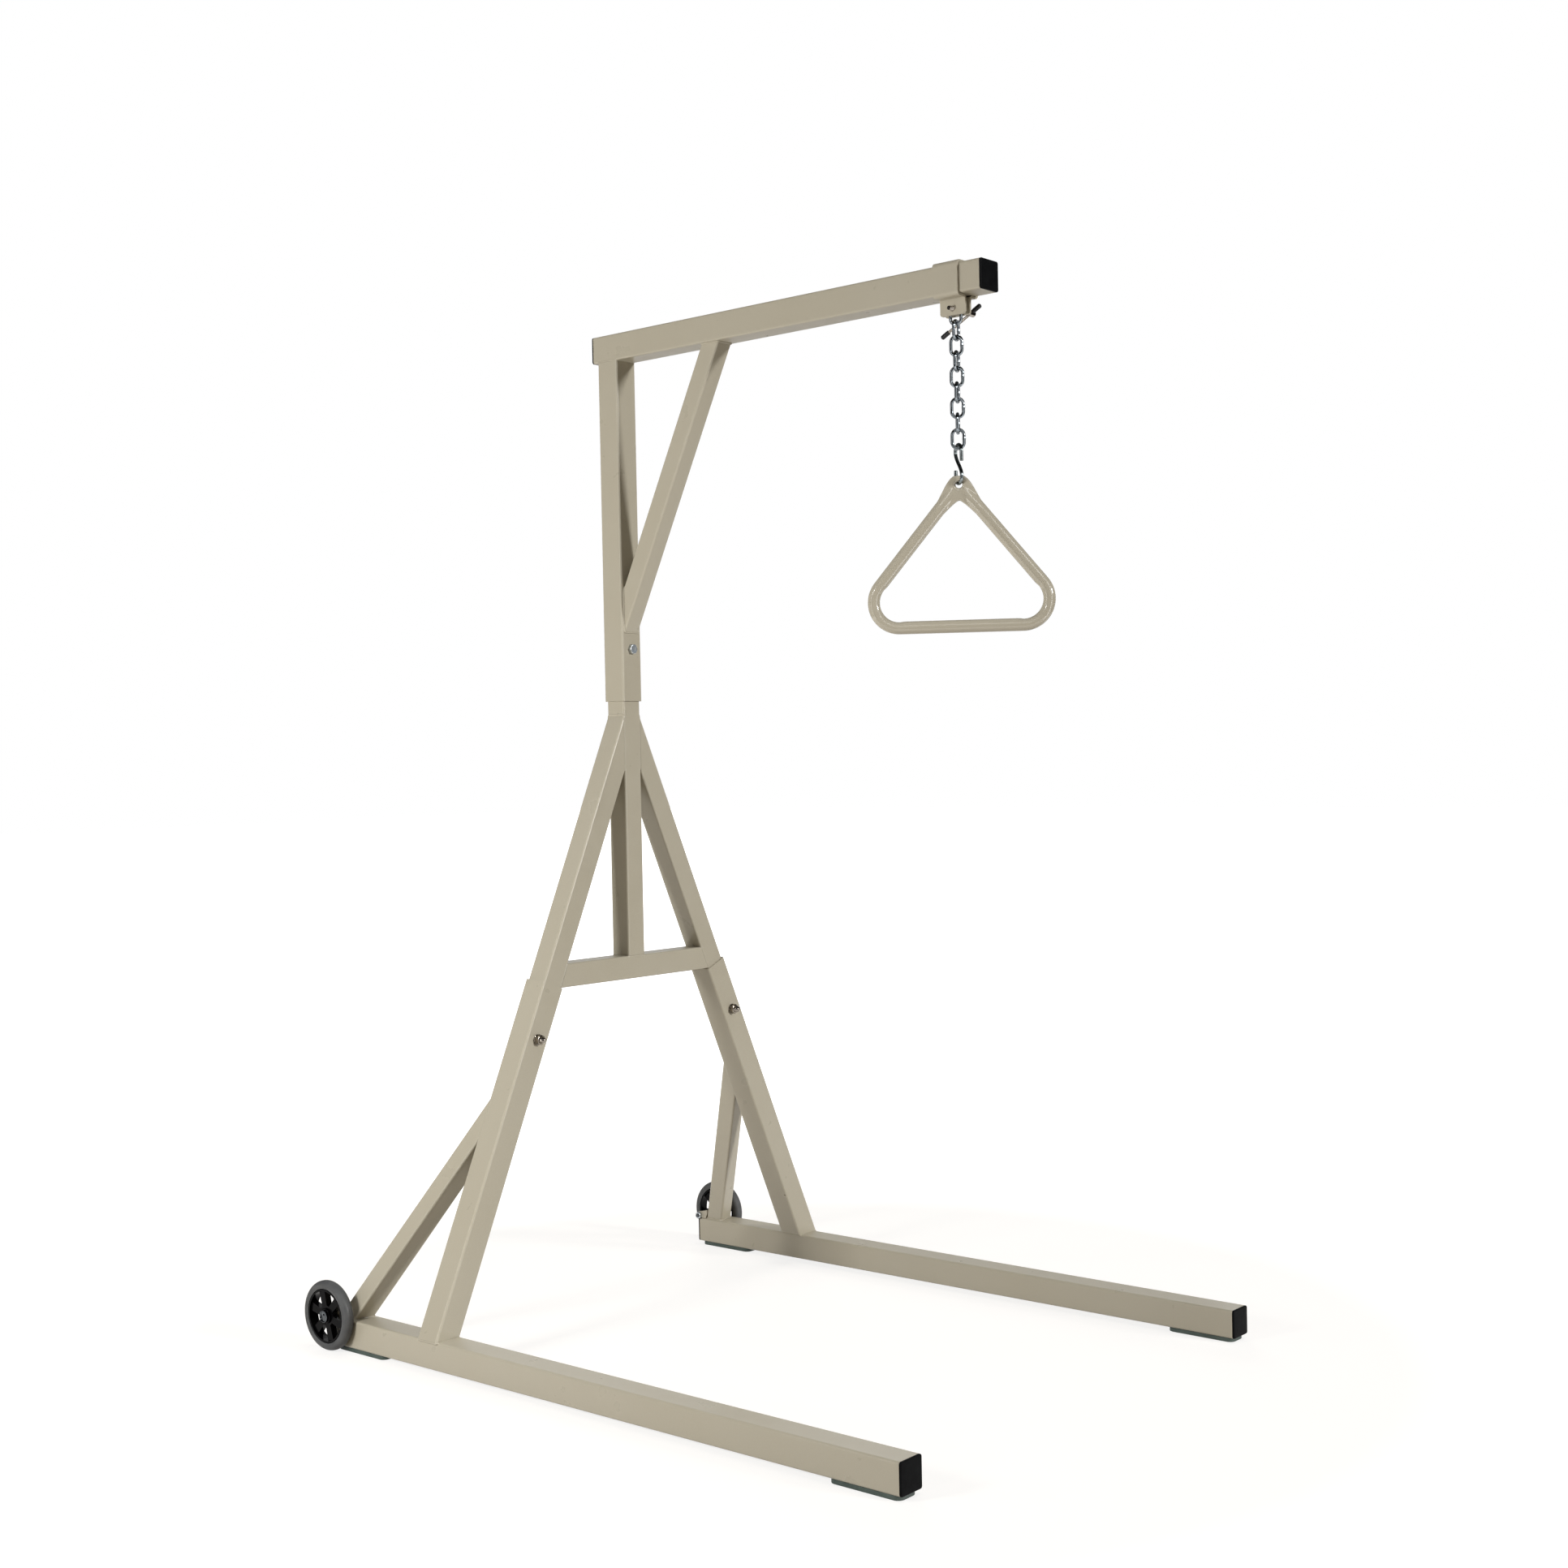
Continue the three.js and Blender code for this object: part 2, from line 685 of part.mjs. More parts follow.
function boom() {
  const group = new THREE.Group();
  group.position.set(0, 0, boomTop - outerTube / 2);
  const tube = turnedTo(mesh("boom", squareTube(outerTube, 0, boomLength), "paint"), alongX);
  const frontCap = turnedTo(endCap("boom_front_cap", outerTube), alongX);
  const rearCap = turnedTo(endCap("boom_rear_cap", outerTube), alongX);
  rearCap.rotateX(Math.PI);
  group.add(placed(tube, -boomRear, 0, 0));
  group.add(placed(frontCap, boomLength - boomRear, 0, 0));
  group.add(placed(rearCap, -boomRear, 0, 0));
  return group;
}

// Boom brace, from the mast's front face to the boom's underside
function boomBrace() {
  const run = boomBraceReach - outerTube / 2;
  const brace = new THREE.Group();
  brace.position.set(outerTube / 2, 0, boomBottom - boomBraceDrop);
  brace.rotation.y = Math.atan2(run, boomBraceDrop);
  brace.updateMatrix();
  const planes = [
    { point: new THREE.Vector3(outerTube / 2 + seatGap, 0, mastBottom), normal: forward.clone().negate() },
    { point: new THREE.Vector3(0, 0, boomBottom - seatGap), normal: upward.clone() },
  ];
  planes[0].point.z = boomBottom - boomBraceDrop;
  planes[1].point.x = boomBraceReach;
  const length = Math.hypot(run, boomBraceDrop);
  const tube = squareTube(braceTube, -outerTube, length + outerTube / 2);
  brace.add(mesh("boom_brace", trim(tube, brace.matrix, planes), "paint"));
  return brace;
}

// Outline of a strip of plate that is bent at each inner corner of its middle line
function bentStrip(corners, thickness, bend) {
  const half = thickness / 2;
  const left = [];
  const right = [];
  corners.forEach((corner, index) => {
    const before = corners[index - 1];
    const after = corners[index + 1];
    if (!before || !after) {
      const along = (after ?? corner).clone().sub(before ?? corner).normalize();
      const across = new THREE.Vector2(-along.y, along.x);
      left.push(corner.clone().addScaledVector(across, half));
      right.push(corner.clone().addScaledVector(across, -half));
      return;
    }
    const arriving = corner.clone().sub(before).normalize();
    const leaving = after.clone().sub(corner).normalize();
    const turn = Math.sign(arriving.cross(leaving));
    const angle = Math.acos(arriving.dot(leaving));
    const inward = new THREE.Vector2(-arriving.y, arriving.x).multiplyScalar(turn);
    const centre = corner.clone().addScaledVector(arriving, -bend * Math.tan(angle / 2));
    centre.addScaledVector(inward, bend);
    for (let step = 0; step <= cornerSteps; step += 1) {
      const spoke = inward.clone().negate();
      spoke.rotateAround(new THREE.Vector2(), (turn * angle * step) / cornerSteps);
      left.push(centre.clone().addScaledVector(spoke, bend - turn * half));
      right.push(centre.clone().addScaledVector(spoke, bend + turn * half));
    }
  });
  return new THREE.Shape([...left, ...right.reverse()]);
}

// Clamp bracket round the boom, with two ears below it
function clampBracket() {
  const wall = outerTube / 2 + clampClearance + clampThickness / 2;
  const roof = boomTop + clampClearance + clampThickness / 2;
  const shelf = boomBottom - clampClearance - clampThickness / 2;
  const ear = earHalfGap + clampThickness / 2;
  const foot = boomBottom - earDrop;
  const corners = [
    [-ear, foot], [-ear, shelf], [-wall, shelf], [-wall, roof],
    [wall, roof], [wall, shelf], [ear, shelf], [ear, foot],
  ].map(([y, z]) => new THREE.Vector2(y, z));
  const outline = bentStrip(corners, clampThickness, clampBend + clampThickness / 2);
  const options = { depth: clampWidth, bevelEnabled: false };
  const strip = new THREE.ExtrudeGeometry(outline, options).translate(0, 0, -clampWidth / 2);
  strip.applyQuaternion(alongX);
  const half = clampWidth / 2;
  const side = new THREE.Shape();
  side.moveTo(half, roof + overrun);
  side.lineTo(-half, roof + overrun);
  side.absarc(-half + earCorner, foot + earCorner, earCorner, Math.PI, 1.5 * Math.PI, false);
  side.absarc(half - earCorner, foot + earCorner, earCorner, 1.5 * Math.PI, 2 * Math.PI, false);
  const depth = 2 * (wall + overrun);
  const earOptions = { depth, bevelEnabled: false, curveSegments: bendSteps / 2 };
  const envelope = new THREE.ExtrudeGeometry(side, earOptions);
  envelope.applyMatrix4(new THREE.Matrix4().makeBasis(forward, upward, leftward.clone().negate()));
  envelope.translate(0, depth / 2, 0);
  const hole = cylinder(screwRadius + screwClearance, -outerTube, outerTube);
  hole.applyQuaternion(alongY).translate(0, 0, boomBottom - screwDrop);
  return mesh("clamp_bracket", cut(keepInside(strip, envelope), hole), "paint");
}

// Distance of the T-bar from the middle of the boom
function barSide() {
  return outerTube / 2 + clampClearance + clampThickness + headStandoff + headLength / 2;
}

// T-screw through the ears, along Y, with its cross-drilled head on the left
function clampScrew() {
  const tail = -earHalfGap - clampThickness - screwTail;
  const head = barSide() - headLength / 2;
  const end = head + headLength;
  const body = turned([
    [0, tail],
    [screwRadius - screwEdge, tail],
    [screwRadius, tail + screwEdge],
    [screwRadius, head],
    [headRadius - screwEdge, head],
    [headRadius, head + screwEdge],
    [headRadius, end - screwEdge],
    [headRadius - screwEdge, end],
    [0, end],
  ]);
  body.rotateX(-Math.PI / 2);
  const drill = cylinder(rodRadius + seatGap, -overrun - headRadius, headRadius + overrun);
  drill.rotateY(Math.PI / 2 - barAngle).translate(0, barSide(), 0);
  return mesh("clamp_screw", cut(body, drill), "zinc");
}

// T-bar through the screw's head, slid down until its upper tip rests on the head
function clampBar() {
  const group = new THREE.Group();
  group.position.set(0, barSide(), 0);
  group.rotation.y = Math.PI / 2 - barAngle;
  const upperEnd = headRadius + seatGap + tipLength;
  const lowerEnd = upperEnd - barLength;
  const rod = cylinder(rodRadius, lowerEnd + tipWall + seatGap, upperEnd - tipWall - seatGap);
  group.add(mesh("clamp_bar", rod, "zinc"));
  group.add(placed(barTip("clamp_bar_upper_tip"), 0, 0, upperEnd - tipLength));
  const lowerTip = barTip("clamp_bar_lower_tip");
  lowerTip.rotation.y = Math.PI;
  group.add(placed(lowerTip, 0, 0, lowerEnd + tipLength));
  return group;
}

// Black tip over the end of the T-bar, open at zero and rounded at its far end
function barTip(name) {
  const bore = rodRadius + seatGap / 2;
  const points = [[0, tipLength - tipWall], [bore, tipLength - tipWall], [bore, 0]];
  points.push([tipRadius - screwEdge, 0], [tipRadius, screwEdge]);
  for (let step = 0; step <= cornerSteps; step += 1) {
    const angle = (Math.PI / 2) * (step / cornerSteps);
    const height = tipLength - tipWall + tipWall * Math.sin(angle);
    points.push([tipRadius * Math.cos(angle), height]);
  }
  points[points.length - 1][0] = 0;
  return mesh(name, turned(points), "tip");
}

// Bar swept through stations in the XZ plane, each with a place, a normal in that plane,
// a half-width along the normal and a half-depth along Y
function sweptBar(stations, sides, closed) {
  const positions = [];
  const indices = [];
  for (const { place, normal, wide, deep } of stations) {
    for (let side = 0; side < sides; side += 1) {
      const angle = (2 * Math.PI * side) / sides;
      const across = wide * Math.cos(angle);
      positions.push(place.x + normal.x * across, deep * Math.sin(angle), place.y + normal.y * across);
    }
  }
  const spans = closed ? stations.length : stations.length - 1;
  for (let span = 0; span < spans; span += 1) {
    const here = span * sides;
    const next = ((span + 1) % stations.length) * sides;
    for (let side = 0; side < sides; side += 1) {
      const after = (side + 1) % sides;
      indices.push(here + side, next + after, next + side);
      indices.push(here + side, here + after, next + after);
    }
  }
  if (!closed) {
    const last = (stations.length - 1) * sides;
    for (let side = 1; side < sides - 1; side += 1) {
      indices.push(0, side + 1, side);
      indices.push(last, last + side, last + side + 1);
    }
  }
  const geometry = new THREE.BufferGeometry();
  geometry.setAttribute("position", new THREE.Float32BufferAttribute(positions, 3));
  geometry.setIndex(indices);
  geometry.computeVertexNormals();
  return geometry;
}

// Stations of a bend: from one angle to another about a centre, with a half-width and depth
function bendStations(centreX, centreZ, radius, from, to, half) {
  const stations = [];
  for (let step = 0; step <= bendSteps; step += 1) {
    const angle = from + ((to - from) * step) / bendSteps;
    const normal = new THREE.Vector2(Math.cos(angle), Math.sin(angle));
    const place = new THREE.Vector2(centreX, centreZ).addScaledVector(normal, radius);
    stations.push({ place, normal, wide: half, deep: half });
  }
  return stations;
}

function chainLink(name) {
  const straight = (linkInnerLength - linkInnerWidth) / 2;
  const top = bendStations(0, straight, linkBend, 0, Math.PI, linkWire);
  const bottom = bendStations(0, -straight, linkBend, Math.PI, 2 * Math.PI, linkWire);
  return mesh(name, sweptBar([...top, ...bottom], wireSides, true), "chrome");
}

// Height of a link's middle, below the screw: each link hangs on the one above
function linkHeight(index) {
  const first = boomBottom - screwDrop + screwRadius + seatGap - linkInnerLength / 2;
  return first - index * (linkInnerLength - seatGap);
}

function linkAngle(index) {
  const quarter = index % 2 === 0 ? 0 : Math.PI / 2;
  return firstLinkTurn + index * linkTwist + quarter;
}

function chain() {
  const group = new THREE.Group();
  for (let index = 0; index < linkCount; index += 1) {
    const link = chainLink(`chain_link_${index + 1}`);
    link.rotation.z = linkAngle(index);
    group.add(placed(link, 0, 0, linkHeight(index)));
  }
  return group;
}

// Middle of the hook's wire at the top of its upper bend, and at the foot of its lower bend
function hookTop() {
  return linkHeight(linkCount - 1) - linkInnerLength / 2 + hookGap + hookWire;
}

function hookFoot() {
  return hookTop() - hookSpan;
}

// S-hook: the wire runs from the upper tip over the top, slants across, and ends in the lower tip
function sHook() {
  const upper = -hookBend;
  const lower = hookBend - hookSpan;
  const stations = [{
    place: new THREE.Vector2(hookBend, upper - hookUpperTip),
    normal: new THREE.Vector2(1, 0),
    wide: hookWire,
    deep: hookWire,
  }];
  stations.push(...bendStations(0, upper, hookBend, 0, Math.PI, hookWire));
  const shank = new THREE.CubicBezierCurve(
    new THREE.Vector2(-hookBend, upper), new THREE.Vector2(-hookBend, upper - hookEase),
    new THREE.Vector2(hookBend, lower + hookEase), new THREE.Vector2(hookBend, lower));
  for (let step = 1; step < bendSteps; step += 1) {
    const along = shank.getTangent(step / bendSteps);
    const normal = new THREE.Vector2(along.y, -along.x);
    stations.push({ place: shank.getPoint(step / bendSteps), normal, wide: hookWire, deep: hookWire });
  }
  const foot = bendStations(0, lower, hookBend, 0, -Math.PI, hookWire);
  for (const station of foot) {
    station.normal.negate();
  }
  stations.push(...foot);
  stations.push({
    place: new THREE.Vector2(-hookBend, lower + hookLowerTip),
    normal: new THREE.Vector2(1, 0),
    wide: hookWire,
    deep: hookWire,
  });
  const hook = mesh("s_hook", sweptBar(stations, wireSides, false), "zinc");
  hook.rotation.z = hookTurn;
  return placed(hook, 0, 0, hookTop());
}

// Right half of the grip's loop, from the middle of the bottom bar up to the apex.
// Heights are from the apex, where the middle lines of the two legs cross.
function gripStations() {
  const centre = new THREE.Vector2(gripCornerReach, gripCornerRadius - gripHeight);
  const reach = centre.length();
  const tangentAngle = Math.atan2(centre.y, centre.x) + Math.asin(gripCornerRadius / reach);
  const legLength = Math.sqrt(reach * reach - gripCornerRadius * gripCornerRadius);
  const down = new THREE.Vector2(Math.cos(tangentAngle), Math.sin(tangentAngle));
  const outward = new THREE.Vector2(-down.y, down.x);
  const legAngle = Math.atan2(outward.y, outward.x);
  const floor = { wide: gripRadius, deep: gripRadius, normal: new THREE.Vector2(0, -1) };
  const stations = [{ ...floor, place: new THREE.Vector2(-overrun, -gripHeight) }];
  stations.push(...bendStations(centre.x, centre.y, gripCornerRadius, -Math.PI / 2, legAngle, gripRadius));
  for (let step = 0; step <= cornerSteps; step += 1) {
    const share = step / cornerSteps;
    const place = down.clone().multiplyScalar(Math.min(gripTaper, legLength) * (1 - share));
    const deep = THREE.MathUtils.lerp(gripRadius, plateThickness / 2, share);
    stations.push({ place, normal: outward, wide: gripRadius, deep });
  }
  return stations;
}

// Flat top of the handle, round its eye; heights are from the eye's middle
function apexPlate() {
  const outline = new THREE.Shape();
  outline.moveTo(-plateHalfTop, plateTop);
  outline.lineTo(plateHalfTop, plateTop);
  outline.quadraticCurveTo(plateHalfCrown, plateTop, plateHalfMid, -plateMid);
  outline.lineTo(plateHalfLow, -plateLow);
  outline.lineTo(plateHalfFoot, -plateFoot);
  outline.quadraticCurveTo(0, -plateArch, -plateHalfFoot, -plateFoot);
  outline.lineTo(-plateHalfLow, -plateLow);
  outline.lineTo(-plateHalfMid, -plateMid);
  outline.quadraticCurveTo(-plateHalfCrown, plateTop, -plateHalfTop, plateTop);
  const options = { depth: plateThickness, bevelEnabled: false, curveSegments: cornerSteps * 2 };
  const plate = new THREE.ExtrudeGeometry(outline, options).translate(0, 0, -plateThickness / 2);
  return plate.rotateX(Math.PI / 2);
}

// Cutter for the eye: narrow in the middle of the plate and flared at both faces
function eyeCutter() {
  const half = plateThickness / 2;
  const points = [[0, -half - overrun], [eyeRadius + eyeFlare, -half - overrun]];
  for (let step = 0; step <= bendSteps; step += 1) {
    const height = half * ((2 * step) / bendSteps - 1);
    const lip = Math.sqrt(Math.max(0, half * half - height * height)) / half;
    points.push([eyeRadius + eyeFlare * (1 - lip), height]);
  }
  points.push([eyeRadius + eyeFlare, half + overrun], [0, half + overrun]);
  return turned(points, 2 * roundSides).applyQuaternion(alongY);
}

// Triangular handle, hung by its eye on the hook
function handle() {
  const rightHalf = sweptBar(gripStations(), gripSides, false).translate(0, 0, eyeBelowApex);
  const leftHalf = rightHalf.clone().rotateZ(Math.PI);
  const body = cut(join(rightHalf, leftHalf, apexPlate()), eyeCutter());
  const grip = mesh("handle", body, "castPaint");
  grip.rotation.z = handleTurn;
  return placed(grip, 0, 0, hookFoot() + hookWire + hookGap - eyeRadius);
}

function clampAssembly() {
  const group = new THREE.Group();
  group.position.set(clampReach, 0, 0);
  group.add(clampBracket());
  const screw = new THREE.Group();
  screw.position.set(0, 0, boomBottom - screwDrop);
  screw.add(clampScrew(), clampBar());
  group.add(screw, chain(), sHook(), handle());
  return group;
}

// The mast stands behind the origin, which is in the middle of the length
const frontReach = railLength - railRear + capThickness;
const rearReach = axleReach + wheelRadius;
const trapeze = new THREE.Group();
const assembly = new THREE.Group();
assembly.position.set((rearReach - frontReach) / 2, 0, 0);
assembly.add(baseSide("left", 1), baseSide("right", -1));
assembly.add(crossTube(), centrePost(), mast(), mastFasteners(), boom(), boomBrace(), clampAssembly());
trapeze.add(assembly);

export default trapeze;
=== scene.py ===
# Free-standing bed trapeze: fine meshes, finishes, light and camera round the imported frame.
# Lengths are in metres. +X runs along the boom from the mast to the handle, and +Z is up.
import json
from math import acos, asin, atan2, cos, exp, pi, radians, sin, sqrt, tan

import bmesh
import bpy
from mathutils import Matrix, Vector, noise

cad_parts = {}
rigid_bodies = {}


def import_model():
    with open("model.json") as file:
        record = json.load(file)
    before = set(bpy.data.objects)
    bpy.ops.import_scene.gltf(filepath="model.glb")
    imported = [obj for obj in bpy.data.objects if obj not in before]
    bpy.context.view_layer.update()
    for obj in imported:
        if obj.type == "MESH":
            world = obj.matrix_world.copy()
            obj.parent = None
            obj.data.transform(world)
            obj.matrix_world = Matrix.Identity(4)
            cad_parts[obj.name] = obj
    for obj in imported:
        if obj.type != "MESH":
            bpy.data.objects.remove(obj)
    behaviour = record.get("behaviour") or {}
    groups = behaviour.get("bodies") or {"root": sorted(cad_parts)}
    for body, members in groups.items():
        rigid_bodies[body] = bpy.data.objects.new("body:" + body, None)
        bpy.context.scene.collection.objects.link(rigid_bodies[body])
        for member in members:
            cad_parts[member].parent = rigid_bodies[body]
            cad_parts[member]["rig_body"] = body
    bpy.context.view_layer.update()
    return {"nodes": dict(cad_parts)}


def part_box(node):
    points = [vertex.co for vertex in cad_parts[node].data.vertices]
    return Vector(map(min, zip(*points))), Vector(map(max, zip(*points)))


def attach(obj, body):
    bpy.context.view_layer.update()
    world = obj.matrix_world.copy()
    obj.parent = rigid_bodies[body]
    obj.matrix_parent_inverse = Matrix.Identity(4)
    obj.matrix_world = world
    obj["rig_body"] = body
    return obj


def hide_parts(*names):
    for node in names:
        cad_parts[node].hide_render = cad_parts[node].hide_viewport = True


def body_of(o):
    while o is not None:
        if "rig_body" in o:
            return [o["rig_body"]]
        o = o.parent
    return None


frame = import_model()

MM = 0.001
UP = Vector((0, 0, 1))
FORWARD = Vector((1, 0, 0))
SIDEWAYS = Vector((0, 1, 0))

# Sizes that the frame's boxes don't give: the part's own, and those of the finer detail
SEAT_GAP = 0.3 * MM
TUBE_WALL = 2.5 * MM
TUBE_CORNER = 4 * MM
LEG_MEET_HEIGHT = 1145.6 * MM
SLEEVE_LENGTH = 654 * MM
INNER_LEG_INSERTION = 200 * MM
LEG_BOLT_BELOW_TOP = 106 * MM
BASE_BRACE_REACH = 228.8 * MM
BASE_BRACE_TOP = 447.3 * MM
BOOM_BRACE_REACH = 260.4 * MM
BOOM_BRACE_DROP = 477.9 * MM
VENT_RADIUS = 1.5 * MM
VENT_ALONG = 112 * MM
VENT_INSET = 3.5 * MM
MAST_BOLT_RISE = 100 * MM

CAP_THICKNESS = 4 * MM
CAP_PLAY = 0.8 * MM
CAP_CROWN = 0.5 * MM
PAD_CORNER = 12 * MM
PAD_EDGE = 0.9 * MM

BOLT_RADIUS = 5 * MM
BOLT_ACROSS = 17 * MM
BOLT_HEAD_HEIGHT = 6.4 * MM
BOLT_DISH_DEPTH = 0.25 * MM
BOLT_DISH_SHARE = 0.3
HEX_TOP_SHARE = 0.95
HEX_CHAMFER = radians(30)
WASHER_RADIUS = 10 * MM
WASHER_THICKNESS = 2 * MM
NUT_HEIGHT = 8 * MM
DOME_RADIUS = 7 * MM
DOME_HEIGHT = 10 * MM
NUT_THREAD_DEPTH = 12 * MM

AXLE_BEHIND_BRACE = 33.2 * MM
AXLE_RISE = 5.3 * MM
AXLE_RADIUS = 4 * MM
AXLE_WASHER_RADIUS = 9 * MM
AXLE_WASHER_THICKNESS = 1.6 * MM
AXLE_HEAD_RADIUS = 11 * MM
AXLE_HEAD_THICKNESS = 3.5 * MM
AXLE_SOCKET_RADIUS = 6 * MM
AXLE_SOCKET_DEPTH = 2 * MM
AXLE_NUT_ACROSS = 13 * MM
AXLE_NUT_HEIGHT = 6.5 * MM
AXLE_TAIL = 2.5 * MM
AXLE_POINT_SHARE = 0.6
AXLE_BOLT_EDGE = 0.2 * MM
CHEEK_THICKNESS = 4 * MM
CHEEK_NOSE = 8 * MM
CHEEK_RISE = 18 * MM
CHEEK_LENGTH = 22 * MM
WEB_LENGTH = 15 * MM
WEB_RISE = 11 * MM
HUB_WIDTH = 20 * MM
HUB_RIM_RADIUS = 49.2 * MM
HUB_RIM_WALL = 4 * MM
HUB_RIM_WIDTH = 19 * MM
HUB_BOSS_RADIUS = 14 * MM
HUB_WEB_WIDTH = 12 * MM
HUB_LIP = 1.2 * MM
WINDOW_INNER = 19 * MM
WINDOW_SPAN = radians(40)
WINDOW_PHASE = radians(105)
WINDOW_COUNT = 6
TYRE_CLEARANCE = 0.3 * MM
TYRE_WIDTH = 22 * MM
TYRE_SEAT_WIDTH = 18.6 * MM
TYRE_SHOULDER = 4.6 * MM
TYRE_SEAM = 0.35 * MM
TREAD_POWER = 0.85

CLAMP_THICKNESS = 4 * MM
CLAMP_CLEARANCE = 0.4 * MM
CLAMP_BEND = 4 * MM
EAR_DROP = 32 * MM
EAR_CORNER = 5 * MM
EAR_CLEARANCE = 0.8 * MM
SCREW_DROP = 21 * MM
SCREW_RADIUS = 4 * MM
SCREW_CLEARANCE = 0.3 * MM
SCREW_TAIL = 11 * MM
SCREW_PITCH = 1.25 * MM
SCREW_THREAD_DEPTH = 0.55 * MM
SCREW_RELIEF = 2 * MM
HEAD_STANDOFF = 6.7 * MM
HEAD_RADIUS = 5.75 * MM
HEAD_LENGTH = 15 * MM
ROD_RADIUS = 2.4 * MM
TIP_RADIUS = 4 * MM
TIP_LENGTH = 17.5 * MM
TIP_WALL = 3 * MM
TIP_ROLL = 0.6 * MM
BAR_LENGTH = 93.5 * MM
BAR_ANGLE = radians(28.7)

LINK_WIRE = 2.8 * MM
LINK_INNER_LENGTH = 26.3 * MM
LINK_INNER_WIDTH = 14.2 * MM
LINK_WELD = 0.35 * MM
LINK_WELD_REACH = 1.3 * MM
LINK_COUNT = 9
FIRST_LINK_TURN = radians(8)
LINK_TWIST = radians(3.1)
HOOK_WIRE = 3 * MM
HOOK_INNER = 9 * MM
HOOK_SPAN = 65.2 * MM
HOOK_UPPER_TIP = 16.7 * MM
HOOK_LOWER_TIP = 11.5 * MM
HOOK_EASE = 14 * MM
HOOK_ROUNDING = 0.7 * MM
HOOK_END_SHARES = (1, 0.85, 0.55)
HOOK_END_SLIMMING = 1.4
HOOK_END_STEP = 1.5
HOOK_TURN = radians(-30)

GRIP_RADIUS = 10.4 * MM
GRIP_CORNER_RADIUS = 43.7 * MM
GRIP_CORNER_REACH = 103.7 * MM
GRIP_HEIGHT = 240.2 * MM
GRIP_TAPER = 62 * MM
GRIP_RIDGE = 1.1 * MM
GRIP_RIDGE_RAMP = 7 * MM
EYE_RADIUS = 5.6 * MM
EYE_LIP = 5 * MM
EYE_BELOW_APEX = 2.3 * MM
PLATE_THICKNESS = 8 * MM
PLATE_EDGE = 2.8 * MM
PLATE_TOP = 15.2 * MM
PLATE_HALF_TOP = 6 * MM
PLATE_HALF_CROWN = 14 * MM
PLATE_MID = 4.8 * MM
PLATE_HALF_MID = 25 * MM
PLATE_LOW = 27 * MM
PLATE_HALF_LOW = 36.9 * MM
WEB_FOOT = 58.5 * MM
WEB_HALF_FOOT = 36 * MM
WEB_MID = 35.6 * MM
WEB_HALF_MID = 14.5 * MM
WEB_TOP = 25.8 * MM
WEB_ROUND = 3 * MM
HANDLE_TURN = radians(32)
HANDLE_VOXEL = 0.9 * MM
HANDLE_SMOOTHING = 0.6
HANDLE_SMOOTH_PASSES = 18

# Steps of the fine meshes, softened edges, weld beads and angles
CORNER_STEPS = 6
ROUND_SIDES = 48
WHEEL_SIDES = 128
WIRE_SIDES = 24
BEND_STEPS = 24
DOME_STEPS = 12
THREAD_STEPS = 6
THREAD_SIDES = 24
TIP_STEPS = 8
LINK_WELD_STEPS = 10
WINDOW_STEPS = 8
CROWN_STEPS = 8
WEB_STEPS = 12
WEB_TIP_STEPS = 5
EYE_STEPS = 16
CUT_EDGE = 0.5 * MM
TURNED_EDGE = 0.6 * MM
FINE_EDGE = 0.3 * MM
PLASTIC_EDGE = 1.3 * MM
FILLET_BEAD = 2 * MM
FILLER_BEAD = 2.3 * MM
FILLER_SINK = 1.7 * MM
FILLER_PROUD = 0.35 * MM
BEAD_STEP = 0.9 * MM
BEAD_PITCH = 2.6 * MM
BEAD_SIDES = 10
BEAD_LOW = 0.9
BEAD_RIPPLE = 0.08
BEAD_WANDER = 0.12
BEAD_WANDER_SCALE = 90
SHARP_ANGLE = radians(38)
CAST_ANGLE = radians(50)
PLATE_ANGLE = radians(60)
OVERRUN = 5 * MM


def side_of(node, axis):
    low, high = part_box(node)
    return high[axis] - low[axis]


def middle_of(node):
    low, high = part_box(node)
    return (low + high) / 2


def shift(*place):
    return Matrix.Translation(place)


def spin(angle, axis="Z"):
    return Matrix.Rotation(angle, 4, axis)


def around(sides):
    return [2 * pi * side / sides for side in range(sides)]


outer_tube = side_of("mast", 0)
inner_tube = side_of("centre_post", 0)
brace_tube = side_of("boom_brace", 1)
mast_x = middle_of("mast").x
mast_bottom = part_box("mast")[0].z
boom_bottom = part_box("boom")[0].z
boom_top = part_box("boom")[1].z
rail_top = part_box("right_rail")[1].z
rail_y = middle_of("left_rail").y
clamp_x = middle_of("clamp_bracket").x
axle_reach = BASE_BRACE_REACH + AXLE_BEHIND_BRACE
axle_height = rail_top + AXLE_RISE
wheel_radius = side_of("right_tyre", 0) / 2
ear_half_gap = ((LINK_INNER_WIDTH / 2 + LINK_WIRE) * sin(FIRST_LINK_TURN)
                + LINK_WIRE + EAR_CLEARANCE)
bar_side = outer_tube / 2 + CLAMP_CLEARANCE + CLAMP_THICKNESS + HEAD_STANDOFF + HEAD_LENGTH / 2
screw_height = boom_bottom - SCREW_DROP

